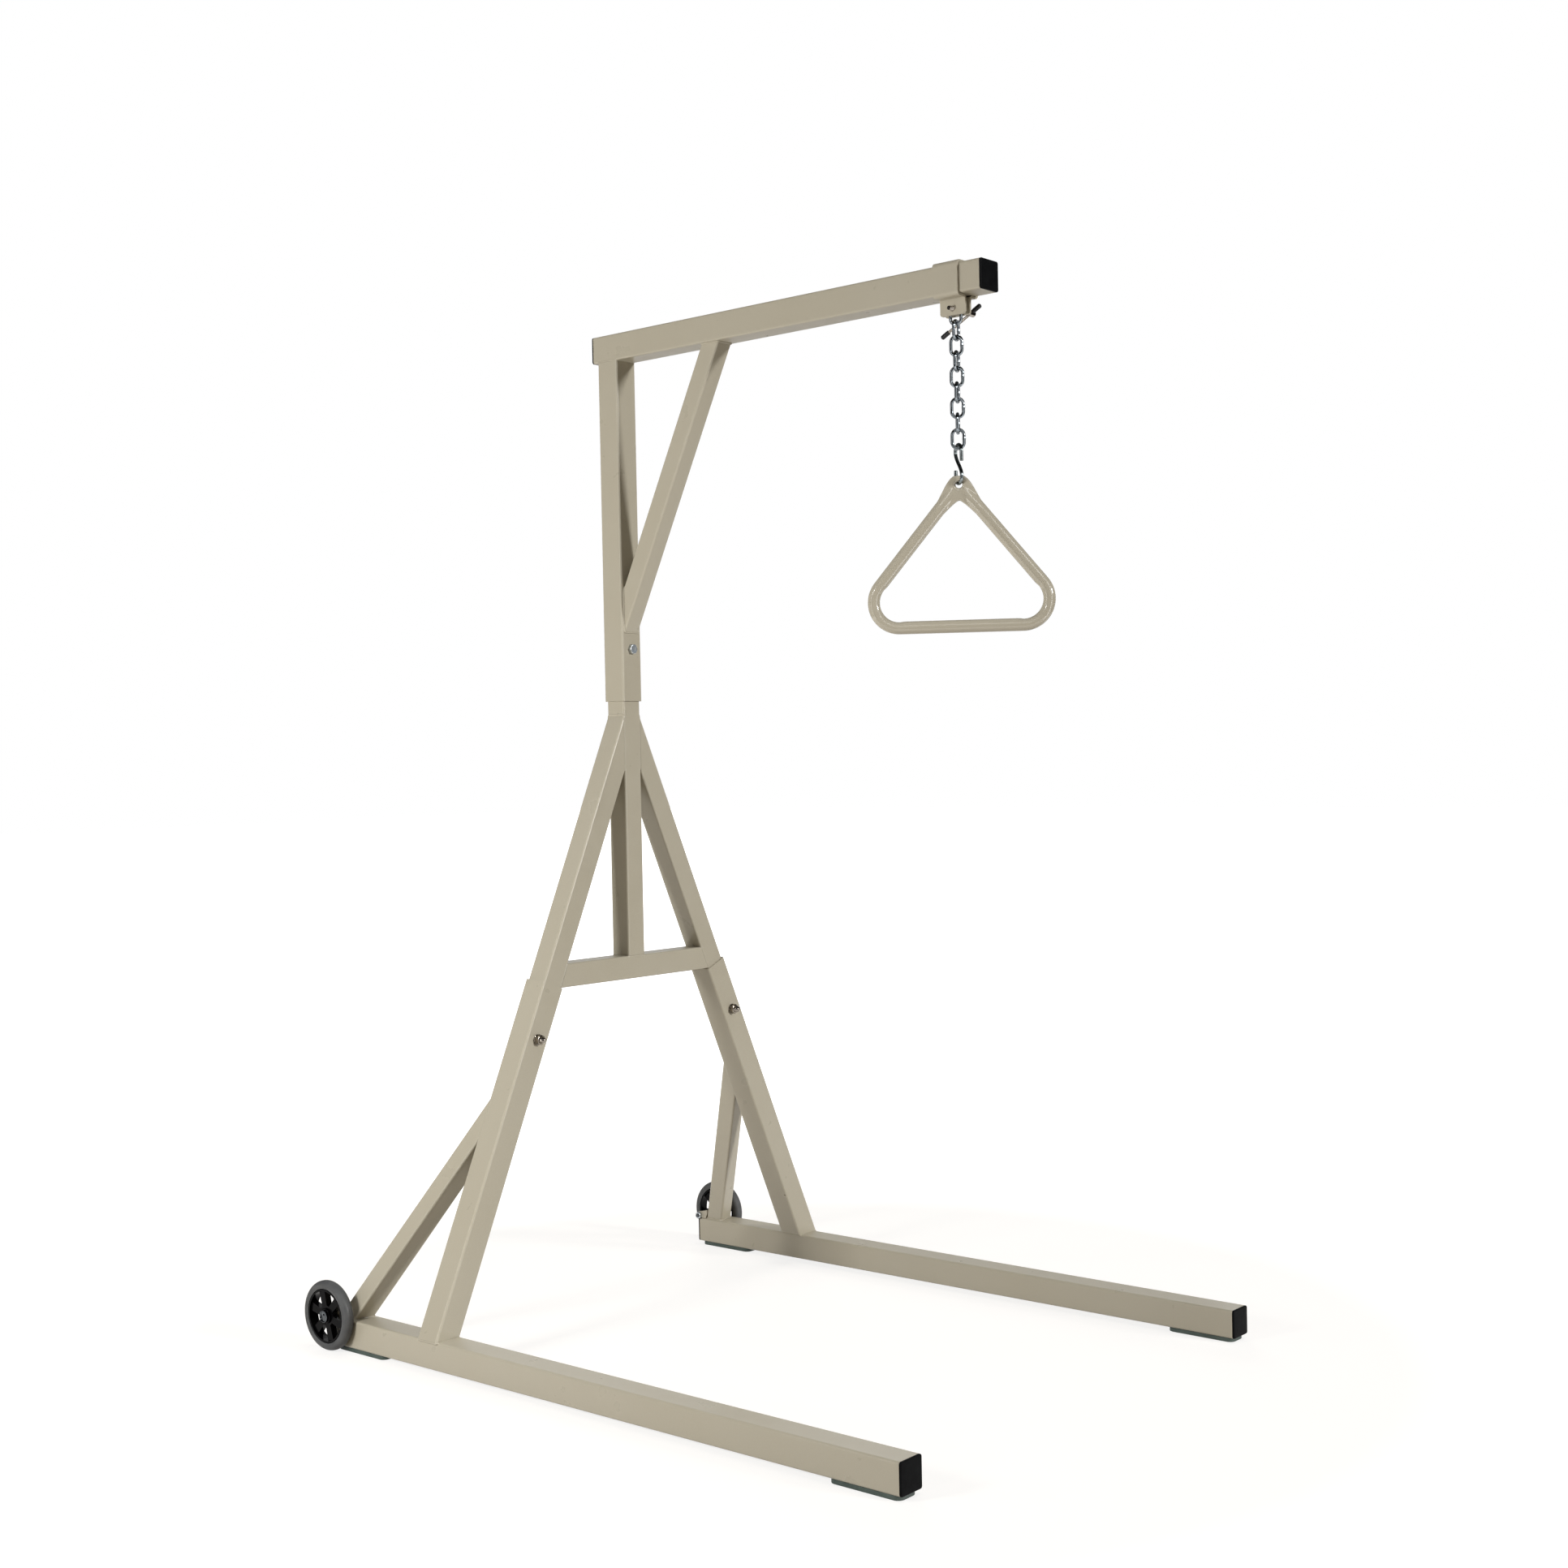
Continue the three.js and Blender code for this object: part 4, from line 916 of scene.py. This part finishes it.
def axle_nut(node, matrix):
    bore = AXLE_RADIUS + SEAT_GAP
    rings = [*hexagon_rings(AXLE_NUT_ACROSS, 0, AXLE_NUT_HEIGHT),
             circle(bore, AXLE_NUT_HEIGHT), circle(bore, 0)]
    stand_in(node, matrix, loft(rings, closed=True), zinc)


def wheel(hand, side):
    outward = shift(mast_x - axle_reach, side * (rail_y + outer_tube / 2), axle_height) @ ALONG_Y
    if side < 0:
        outward = outward @ HALF_TURN
    hub_seat = outward @ shift(0, 0, AXLE_WASHER_THICKNESS + 2 * SEAT_GAP)
    axle_bolt(f"{hand}_axle_bolt", outward)
    washer(f"{hand}_axle_washer", outward @ shift(0, 0, SEAT_GAP),
           AXLE_WASHER_RADIUS, AXLE_RADIUS + SEAT_GAP, AXLE_WASHER_THICKNESS)
    axle_nut(f"{hand}_axle_nut", outward @ shift(0, 0, -outer_tube - SEAT_GAP) @ HALF_TURN)
    tyre(f"{hand}_tyre", hub_seat)
    hub(f"{hand}_hub", hub_seat)


def base_side(hand, side):
    capped_tube(f"{hand}_rail", side * rail_y)
    floor_pad(f"{hand}_front_pad")
    floor_pad(f"{hand}_rear_pad")
    leg = leg_matrix(side)
    leg_sleeve(hand, side, leg)
    inner_leg(hand, side, leg)
    leg_face = plane_on(leg, (-outer_tube / 2 - SEAT_GAP, 0, 0), FORWARD)
    welded_brace(f"{hand}_base_brace", f"{hand}_brace", brace_matrix(leg),
                 level(rail_top + SEAT_GAP), leg_face)
    leg_fasteners(hand, leg)
    axle_bracket(hand, side, leg)
    wheel(hand, side)


# Upper frame

def cross_tube():
    matrix = shift(mast_x, 0, middle_of("cross_tube").z) @ ALONG_Y
    planes = []
    for hand, side in (("right", -1), ("left", 1)):
        leg = leg_matrix(side)
        planes.append(plane_on(leg, (0, -side * (inner_tube / 2 + SEAT_GAP), 0), SIDEWAYS))
        filler(f"{hand}_cross_weld", matrix, inner_tube, flush(inner_tube), planes[-1], side)
    tube("cross_tube", matrix, inner_tube, *planes)


def centre_post():
    matrix = shift(mast_x, 0, 0)
    foot = level(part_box("cross_tube")[1].z + SEAT_GAP)
    tube("centre_post", matrix, inner_tube, foot, level(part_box("centre_post")[1].z))
    filler("post_foot_weld", matrix, flush(inner_tube), inner_tube, foot, -1)


def mast():
    matrix = shift(mast_x, 0, 0)
    head = level(boom_bottom - SEAT_GAP)
    tube("mast", matrix, outer_tube, level(mast_bottom), head)
    filler("mast_head_weld", matrix, outer_tube, flush(outer_tube), head, 1)
    front = shift(mast_x + outer_tube / 2, 0, mast_bottom + MAST_BOLT_RISE) @ ALONG_X @ HALF_TURN
    hex_bolt("mast_bolt", front, outer_tube + NUT_THREAD_DEPTH - SEAT_GAP)
    acorn_nut("mast_nut", front @ shift(0, 0, outer_tube + SEAT_GAP))


def boom_brace():
    run = BOOM_BRACE_REACH - outer_tube / 2
    place = shift(mast_x + outer_tube / 2, 0, boom_bottom - BOOM_BRACE_DROP)
    welded_brace("boom_brace", "boom_brace", place @ spin(atan2(run, BOOM_BRACE_DROP), "Y"),
                 facing(mast_x + outer_tube / 2 + SEAT_GAP), level(boom_bottom - SEAT_GAP))


# Clamp on the boom

def bent_strip(corners):
    """Outline of the clamp's strip of plate, bent at each inner corner of its middle line."""
    left = []
    right = []
    half = CLAMP_THICKNESS / 2
    bend_radius = CLAMP_BEND + half
    last = len(corners) - 1
    for index, corner in enumerate(corners):
        arriving = (corner - corners[max(index - 1, 0)]).normalized()
        leaving = (corners[min(index + 1, last)] - corner).normalized()
        if index in (0, last):
            along = arriving + leaving
            out = Vector((-along.y, along.x))
            left.append(corner + out * half)
            right.append(corner - out * half)
            continue
        turn = 1 if arriving.x * leaving.y - arriving.y * leaving.x > 0 else -1
        angle = acos(arriving.dot(leaving))
        inward = Vector((-arriving.y, arriving.x)) * turn
        centre = corner - arriving * (bend_radius * tan(angle / 2)) + inward * bend_radius
        for step in range(CORNER_STEPS + 1):
            spoke = -inward
            spoke.rotate(Matrix.Rotation(turn * angle * step / CORNER_STEPS, 2))
            left.append(centre + spoke * (bend_radius - turn * half))
            right.append(centre + spoke * (bend_radius + turn * half))
    return [tuple(point) for point in left + right[::-1]]


def clamp_bracket():
    node = "clamp_bracket"
    low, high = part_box(node)
    half = CLAMP_THICKNESS / 2
    wall = outer_tube / 2 + CLAMP_CLEARANCE + half
    roof = boom_top + CLAMP_CLEARANCE + half
    shelf = boom_bottom - CLAMP_CLEARANCE - half
    ear = ear_half_gap + half
    foot = boom_bottom - EAR_DROP
    corners = [Vector(pair) for pair in ((-ear, foot), (-ear, shelf), (-wall, shelf), (-wall, roof),
                                         (wall, roof), (wall, shelf), (ear, shelf), (ear, foot))]
    envelope = [(high.x, roof + OVERRUN), (low.x, roof + OVERRUN)]
    for x, start in ((low.x + EAR_CORNER, pi), (high.x - EAR_CORNER, 1.5 * pi)):
        envelope += arc(x, foot + EAR_CORNER, EAR_CORNER, start, start + pi / 2, CORNER_STEPS)
    reach = wall + OVERRUN
    hole = rod(SCREW_RADIUS + SCREW_CLEARANCE, -outer_tube, outer_tube)
    bracket = fine(node, moved(extruded(bent_strip(corners), low.x, high.x), ALONG_X))
    combine(bracket, "INTERSECT", standing(envelope, -reach, reach))
    combine(bracket, "DIFFERENCE", moved(hole, shift(clamp_x, 0, screw_height) @ ALONG_Y))
    complete(bracket, node, paint, TURNED_EDGE)


def threaded_rod(start, end):
    """The screw's thread along Z, which fades out at both closed ends."""
    rows = round((end - start) / SCREW_PITCH * THREAD_STEPS)
    rings = [[(0, 0, start)]]
    for row in range(rows + 1):
        height = start + (end - start) * row / rows
        fade = min(1, (height - start) / SCREW_PITCH, (end - height) / SCREW_PITCH)
        ring = []
        for side in range(THREAD_SIDES):
            angle = 2 * pi * side / THREAD_SIDES
            phase = (height / SCREW_PITCH - side / THREAD_SIDES) % 1
            groove = 1 - abs(2 * phase - 1)
            radius = SCREW_RADIUS - SCREW_THREAD_DEPTH * (1 - fade * (1 - groove))
            ring.append((radius * cos(angle), radius * sin(angle), height))
        rings.append(ring)
    rings.append([(0, 0, end)])
    return loft(rings)


def clamp_screw():
    node = "clamp_screw"
    tail = -ear_half_gap - CLAMP_THICKNESS - SCREW_TAIL
    head = bar_side - HEAD_LENGTH / 2
    edge = TURNED_EDGE
    neck = ear_half_gap + CLAMP_THICKNESS
    thread_end = neck + SCREW_RELIEF
    shank = turned([(0, neck), (SCREW_RADIUS - edge, neck), (SCREW_RADIUS - edge, thread_end),
                    (SCREW_RADIUS, thread_end + edge), (SCREW_RADIUS, head + edge), (0, head + edge)])
    lay = spin(-pi / 2, "X")
    bore = moved(rod(ROD_RADIUS + SEAT_GAP, -outer_tube, outer_tube),
                 lay.inverted() @ shift(0, bar_side, 0) @ BAR_TURN)
    thing = fine(node, rod(HEAD_RADIUS, head, head + HEAD_LENGTH, edge))
    combine(thing, "DIFFERENCE", bore)
    combine(thing, "UNION", shank, threaded_rod(tail, thread_end))
    thing.data.transform(shift(clamp_x, 0, screw_height) @ lay)
    complete(thing, node, dark_zinc, angle=CAST_ANGLE)


def clamp_bar():
    place = shift(clamp_x, bar_side, screw_height) @ BAR_TURN
    upper = HEAD_RADIUS + SEAT_GAP + TIP_LENGTH
    lower = upper - BAR_LENGTH
    inset = TIP_WALL + SEAT_GAP
    stand_in("clamp_bar", place, rod(ROD_RADIUS, lower + inset, upper - inset, FINE_EDGE), dark_zinc)
    bar_tip("clamp_bar_upper_tip", place @ shift(0, 0, upper - TIP_LENGTH))
    bar_tip("clamp_bar_lower_tip", place @ shift(0, 0, lower + TIP_LENGTH) @ spin(pi, "Y"))


def bar_tip(node, matrix):
    """Dipped tip: a sleeve with a rolled mouth and a rounded end."""
    bore = ROD_RADIUS + SEAT_GAP / 2
    seat = TIP_LENGTH - TIP_WALL
    profile = [(0, seat), (bore, seat), (bore, 0), (TIP_RADIUS - TIP_ROLL, 0),
               (TIP_RADIUS - TIP_ROLL / 4, TIP_ROLL / 4), (TIP_RADIUS, TIP_ROLL),
               *arc(0, seat, TIP_RADIUS, 0, pi / 2, TIP_STEPS, TIP_WALL)[:-1], (0, TIP_LENGTH)]
    stand_in(node, matrix, turned(profile), vinyl)


# Chain, hook and handle

def round_station(x, z, normal_x, normal_z, half):
    return x, z, normal_x, normal_z, half, half, half


def swept(stations, closed):
    """Bar through stations in the XZ plane: (x, z, normal x, normal z, out, in, deep)."""
    rings = []
    for x, z, normal_x, normal_z, out, inward, deep in stations:
        ring = []
        for angle in around(WIRE_SIDES):
            reach = (out if cos(angle) > 0 else inward) * cos(angle)
            ring.append((x + normal_x * reach, deep * sin(angle), z + normal_z * reach))
        rings.append(ring)
    if not closed:
        first, last = ([(station[0], 0, station[1])] for station in (stations[0], stations[-1]))
        rings = [first, *rings, last]
    return loft(rings, closed)


def bend(centre_x, centre_z, radius, start, end, half, flip=1):
    stations = []
    for step in range(BEND_STEPS + 1):
        angle = start + (end - start) * step / BEND_STEPS
        x = cos(angle)
        z = sin(angle)
        place = (centre_x + radius * x, centre_z + radius * z)
        stations.append(round_station(*place, flip * x, flip * z, half))
    return stations


def chain_link(index):
    """Round-wire link with the swelling of its butt weld on one side."""
    node = f"chain_link_{index + 1}"
    straight = (LINK_INNER_LENGTH - LINK_INNER_WIDTH) / 2
    radius = LINK_INNER_WIDTH / 2 + LINK_WIRE
    stations = bend(0, straight, radius, 0, pi, LINK_WIRE)
    stations += bend(0, -straight, radius, pi, 2 * pi, LINK_WIRE)
    for step in range(1, LINK_WELD_STEPS):
        z = -straight + 2 * straight * (step / LINK_WELD_STEPS)
        swell = LINK_WELD * exp(-((z / LINK_WELD_REACH) ** 2))
        stations.append(round_station(radius, z, 1, 0, LINK_WIRE + swell))
    quarter = pi / 2 if index % 2 else 0
    matrix = shift(*middle_of(node)) @ spin(FIRST_LINK_TURN + index * LINK_TWIST + quarter)
    stand_in(node, matrix, swept(stations, closed=True), chrome)


def hook_end(x, end, toward):
    """Stations of the wire's rounded end, from the wire outward; toward is 1 where the end points up."""
    stations = []
    for share in HOOK_END_SHARES:
        drop = HOOK_ROUNDING * (1 - share)
        z = end + toward * (drop * HOOK_END_STEP - HOOK_ROUNDING)
        stations.append(round_station(x, z, 1, 0, HOOK_WIRE - drop * HOOK_END_SLIMMING))
    return stations


def s_hook():
    wire = HOOK_WIRE
    hook_bend = HOOK_INNER + wire
    upper = -hook_bend
    lower = hook_bend - HOOK_SPAN
    stations = hook_end(hook_bend, upper - HOOK_UPPER_TIP, -1)[::-1]
    stations += bend(0, upper, hook_bend, 0, pi, wire)
    ends = (Vector((-hook_bend, upper)), Vector((-hook_bend, upper - HOOK_EASE)),
            Vector((hook_bend, lower + HOOK_EASE)), Vector((hook_bend, lower)))
    for step in range(1, BEND_STEPS):
        share = step / BEND_STEPS
        rest = 1 - share
        place = (ends[0] * rest ** 3 + ends[1] * 3 * rest ** 2 * share
                 + ends[2] * 3 * rest * share ** 2 + ends[3] * share ** 3)
        along = ((ends[1] - ends[0]) * rest ** 2 + (ends[2] - ends[1]) * 2 * rest * share
                 + (ends[3] - ends[2]) * share ** 2).normalized()
        stations.append(round_station(place.x, place.y, along.y, -along.x, wire))
    stations += bend(0, lower, hook_bend, 0, -pi, wire, flip=-1)
    stations += hook_end(-hook_bend, lower + HOOK_LOWER_TIP, 1)
    matrix = shift(clamp_x, 0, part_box("s_hook")[1].z - wire) @ spin(HOOK_TURN)
    stand_in("s_hook", matrix, swept(stations, closed=False), hook_steel)


def ridge(along, length):
    """How far the inner ridge of a straight stretch has risen, from its ends inward."""
    share = min(1, along / GRIP_RIDGE_RAMP, (length - along) / GRIP_RIDGE_RAMP)
    return GRIP_RIDGE * max(0, share)


def grip_stations():
    """Right half of the grip's loop, from past the middle of the bottom bar up to the apex."""
    centre = Vector((GRIP_CORNER_REACH, GRIP_CORNER_RADIUS - GRIP_HEIGHT))
    reach = centre.length
    tangent_angle = atan2(centre.y, centre.x) + asin(GRIP_CORNER_RADIUS / reach)
    leg_length = sqrt(reach * reach - GRIP_CORNER_RADIUS * GRIP_CORNER_RADIUS)
    down = Vector((cos(tangent_angle), sin(tangent_angle)))
    outward = Vector((-down.y, down.x))
    leg_angle = atan2(outward.y, outward.x)
    radius = GRIP_RADIUS
    stations = []
    steps = 3 * BEND_STEPS
    for step in range(steps + 1):
        x = -OVERRUN + (centre.x + OVERRUN) * step / steps
        inner = radius + ridge(centre.x - x, 2 * centre.x)
        stations.append((x, -GRIP_HEIGHT, 0, -1, radius, inner, radius))
    stations += bend(centre.x, centre.y, GRIP_CORNER_RADIUS, -pi / 2, leg_angle, radius)
    for step in range(steps + 1):
        along = leg_length * (1 - step / steps)
        share = min(1, along / GRIP_TAPER)
        eased = share * share * (3 - 2 * share)
        deep = PLATE_THICKNESS / 2 + (radius - PLATE_THICKNESS / 2) * eased
        inner = radius + ridge(leg_length - along, 2 * leg_length)
        stations.append((down.x * along, down.y * along, outward.x, outward.y, radius, inner, deep))
    return stations


def quadratic(start, control, end, steps):
    points = []
    for step in range(1, steps + 1):
        share = step / steps
        rest = 1 - share
        points.append(tuple(rest * rest * a + 2 * rest * share * b + share * share * c
                            for a, b, c in zip(start, control, end)))
    return points


def apex_outline():
    """The flat top's outline: shoulders, and below the eye a web that ends in a rounded V."""
    right = [(PLATE_HALF_TOP, PLATE_TOP)]
    right += quadratic(right[0], (PLATE_HALF_CROWN, PLATE_TOP), (PLATE_HALF_MID, -PLATE_MID), CROWN_STEPS)
    right += [(PLATE_HALF_LOW, -PLATE_LOW), (WEB_HALF_FOOT, -WEB_FOOT)]
    slope = (WEB_MID - WEB_TOP) / WEB_HALF_MID
    web_end = (WEB_ROUND, -WEB_TOP - slope * WEB_ROUND)
    right += quadratic(right[-1], (WEB_HALF_MID, -WEB_MID), web_end, WEB_STEPS)
    left = [(-x, y) for x, y in right[::-1]]
    tip = quadratic(right[-1], (0, -WEB_TOP), left[0], WEB_TIP_STEPS)
    return right + tip + left[1:]


def handle():
    """Cast triangular handle: the loop and its flat top are fused, then the eye is cut."""
    right = moved(swept(grip_stations(), closed=False), shift(0, 0, EYE_BELOW_APEX))
    left = moved(right, spin(pi))
    half = PLATE_THICKNESS / 2
    lay = spin(pi / 2, "X")
    plate = object_from("apex_plate", moved(extruded(apex_outline(), -half, half), lay))
    soften(plate, PLATE_EDGE, 4, PLATE_ANGLE)
    settle(plate)
    plate_geometry = ([vertex.co.copy() for vertex in plate.data.vertices],
                      [tuple(polygon.vertices) for polygon in plate.data.polygons])
    bpy.data.objects.remove(plate)
    body = fine("handle", joined(right, left, plate_geometry))
    remesh = body.modifiers.new("fuse", "REMESH")
    remesh.mode = "VOXEL"
    remesh.voxel_size = HANDLE_VOXEL
    smooth = body.modifiers.new("smooth", "SMOOTH")
    smooth.factor = HANDLE_SMOOTHING
    smooth.iterations = HANDLE_SMOOTH_PASSES
    settle(body)
    lip = EYE_RADIUS + EYE_LIP
    profile = [(0, -half - OVERRUN), (lip, -half - OVERRUN),
               *arc(lip, 0, EYE_LIP, pi / 2, 1.5 * pi, EYE_STEPS, -half),
               (lip, half + OVERRUN), (0, half + OVERRUN)]
    combine(body, "DIFFERENCE", moved(turned(profile), ALONG_Y))
    eye_z = (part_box("handle")[0].z + GRIP_HEIGHT + GRIP_RADIUS) - EYE_BELOW_APEX
    body.data.transform(shift(clamp_x, 0, eye_z) @ spin(HANDLE_TURN))
    body.data.shade_smooth()
    body.data.set_sharp_from_angle(angle=CAST_ANGLE)
    dress(body, enamel, body_of_node("handle"), "handle")


# Stage, light and camera

FLOOR_SIZE = 60
FLOOR_COLOUR = (0.56, 0.52, 0.46, 1)
FLOOR_ROUGHNESS = 0.9
FLOOR_GLOW_SHARE = 0.5
SHADOW_REACH = 1.1
SHADOW_FADE = 2.2
FLOOR_GLOW = 1.6
AMBIENT = 0.1
AMBIENT_COLOUR = (1, 0.9, 0.78, 1)
FLAG_DISTANCE = 3.4
FLAG_HEIGHT = 3.2
FLAG_SHADE = 0.02
FLAG_SPANS = ((15, 68), (76, 100), (162, 205), (213, 250), (262, 360))
LOW_FLAG_HEIGHT = 1.3
LOW_FLAG_SHADE = 0.35
LOW_FLAG_SPAN = (105, 158)
STRIP_GLOW = 7
STRIP_LEAN = radians(-9)
PANEL_PLACE = Vector((-0.5, -2.5, 1.3))
PANEL_TARGET = Vector((-0.4, 0, 0.9))
PANEL_SIDE = 0.5
PANEL_POWER = 38
CAMERA_PLACE = (2.45398, -2.83542, 1.06699)
CAMERA_ANGLES = (40.32, -0.77, -1.16)
CAMERA_LENS = 47.25
SENSOR_WIDTH = 36
VIEW_DEPTH = 100


def background_rays(tree):
    """One for the rays that show the background: the camera's, and those of gloss and of glass."""
    path = tree.nodes.new("ShaderNodeLightPath")
    result = path.outputs["Is Camera Ray"]
    for name in ("Is Glossy Ray", "Is Transmission Ray"):
        sockets = {0: result, 1: path.outputs[name]}
        result = add_node(tree, "ShaderNodeMath", sockets, operation="MAXIMUM").outputs[0]
    return result


def show_mix(tree, factor, first, second, output):
    sockets = {0: factor, 1: first.outputs[0], 2: second.outputs[0]}
    mix = add_node(tree, "ShaderNodeMixShader", sockets)
    fill(tree, tree.nodes[output], {"Surface": mix.outputs[0]})


def floor():
    """Pale floor that takes the object's shadow and fades to white away from it."""
    half = FLOOR_SIZE / 2
    plane = object_from("floor", sheet(rectangle(-half, -half, half, half)))
    nodes = Nodes("studio_floor")
    nodes.set(FLOOR_COLOUR, FLOOR_ROUGHNESS, **{"Specular IOR Level": 0})
    tree = nodes.tree
    glow = add_node(tree, "ShaderNodeEmission", {"Strength": FLOOR_GLOW})
    distance = add_node(tree, "ShaderNodeVectorMath", {0: nodes.place}, operation="LENGTH").outputs["Value"]
    glow_share = nodes.span(distance, FLOOR_GLOW_SHARE, 1, SHADOW_REACH, SHADOW_FADE)
    sockets = {0: background_rays(tree), 1: glow_share}
    share = add_node(tree, "ShaderNodeMath", sockets, operation="MULTIPLY").outputs[0]
    show_mix(tree, share, nodes.shader, glow, "Material Output")
    plane.data.materials.append(nodes.material)


def world():
    """White behind the object and in its reflections, and a plain level of soft light on it."""
    studio = bpy.data.worlds.new("studio")
    bpy.context.scene.world = studio
    studio.use_nodes = True
    tree = studio.node_tree
    soft = tree.nodes["Background"]
    fill(tree, soft, {"Color": AMBIENT_COLOUR, "Strength": AMBIENT})
    white = add_node(tree, "ShaderNodeBackground", {"Color": (1, 1, 1, 1), "Strength": 1})
    show_mix(tree, background_rays(tree), soft, white, "World Output")


def lamp(name, kind, energy, toward, glints, place=(0, 0, 0)):
    """Light that shines from the side that toward points to; glints says if gloss shows it."""
    light = bpy.data.lights.new(name, kind)
    light.energy = energy
    thing = new_object(name, light)
    thing.location = place
    thing.rotation_euler = Vector(toward).to_track_quat("Z", "Y").to_euler()
    thing.visible_glossy = glints
    return light


def sun(name, toward, strength, spread, glints=True):
    lamp(name, "SUN", strength, toward, glints).angle = radians(spread)


def reflected_card(name, geometry, strength):
    """Stage card that shows in reflections alone."""
    card = object_from(name, geometry)
    nodes = Nodes(name)
    glow = add_node(nodes.tree, "ShaderNodeEmission", {"Strength": strength})
    fill(nodes.tree, nodes.tree.nodes["Material Output"], {"Surface": glow.outputs[0]})
    card.data.materials.append(nodes.material)
    for rays in ("camera", "diffuse", "transmission", "shadow"):
        setattr(card, f"visible_{rays}", False)


def reflected_strip(name, place, width, height, lean=0):
    """Lit panel that turns to the object, and may lean to its side."""
    outline = rectangle(-width / 2, -height / 2, width / 2, height / 2)
    turn = atan2(place[1], place[0]) + pi / 2
    matrix = shift(*place) @ spin(turn) @ spin(lean, "Y") @ UPRIGHT
    reflected_card(name, moved(sheet(outline), matrix), STRIP_GLOW)


def flag(name, span, top, shade_level):
    """Dark curved card round part of the stage, from one bearing to another in degrees."""
    start, end = span
    foot = arc(0, 0, FLAG_DISTANCE, radians(start), radians(end), BEND_STEPS)
    vertices = [Vector((x, y, height)) for height in (0, top) for x, y in foot]
    count = len(foot)
    faces = [(index, index + 1, count + index + 1, count + index) for index in range(count - 1)]
    reflected_card(name, (vertices, faces), shade_level)


def lights():
    sun("near_key", (0, -1, 0.28), strength=0.36, spread=5)
    panel = lamp("near_panel", "AREA", PANEL_POWER, PANEL_PLACE - PANEL_TARGET, False, PANEL_PLACE)
    panel.size = PANEL_SIDE
    sun("left_key", (-0.74, -0.62, 0.25), strength=0.2, spread=5, glints=False)
    sun("right_key", (1, 0.24, 0.32), strength=2.05, spread=9)
    sun("top_fill", (0.1, 0.1, 1), strength=0.66, spread=30, glints=False)
    sun("back_fill", (-0.7, 0.75, 0.3), strength=1.25, spread=30, glints=False)
    reflected_strip("right_strip", (1.95, -0.17, 1.25), width=0.24, height=2.5, lean=STRIP_LEAN)
    reflected_strip("left_strip", (-0.7, -2.9, 1.4), width=0.3, height=2.6)
    reflected_strip("high_strip", (2.1, -1.9, 2.9), width=2.4, height=0.3)
    for number, span in enumerate(FLAG_SPANS):
        flag(f"flag_{number + 1}", span, FLAG_HEIGHT, FLAG_SHADE)
    flag("low_flag", LOW_FLAG_SPAN, LOW_FLAG_HEIGHT, LOW_FLAG_SHADE)
    rim = arc(0, 0, FLAG_DISTANCE, 0, 2 * pi, BEND_STEPS)[:-1]
    reflected_card("ceiling_flag", sheet(rim, FLAG_HEIGHT), FLAG_SHADE)


def camera():
    """The photograph's viewpoint, found by fitting the frame's corners to it."""
    yaw, pitch, roll = (radians(angle) for angle in CAMERA_ANGLES)
    data = bpy.data.cameras.new("camera")
    data.sensor_fit = "HORIZONTAL"
    data.sensor_width = SENSOR_WIDTH
    data.lens = CAMERA_LENS
    data.clip_end = VIEW_DEPTH
    view = new_object("camera", data)
    view.matrix_world = shift(*CAMERA_PLACE) @ spin(yaw) @ spin(pi / 2 + pitch, "X") @ spin(roll)
    bpy.context.scene.camera = view


camera()
base_side("left", 1)
base_side("right", -1)
cross_tube()
centre_post()
mast()
capped_tube("boom", 0)
boom_brace()
clamp_bracket()
clamp_screw()
clamp_bar()
for number in range(LINK_COUNT):
    chain_link(number)
s_hook()
handle()

floor()
world()
lights()
bpy.context.scene.view_settings.view_transform = "Standard"
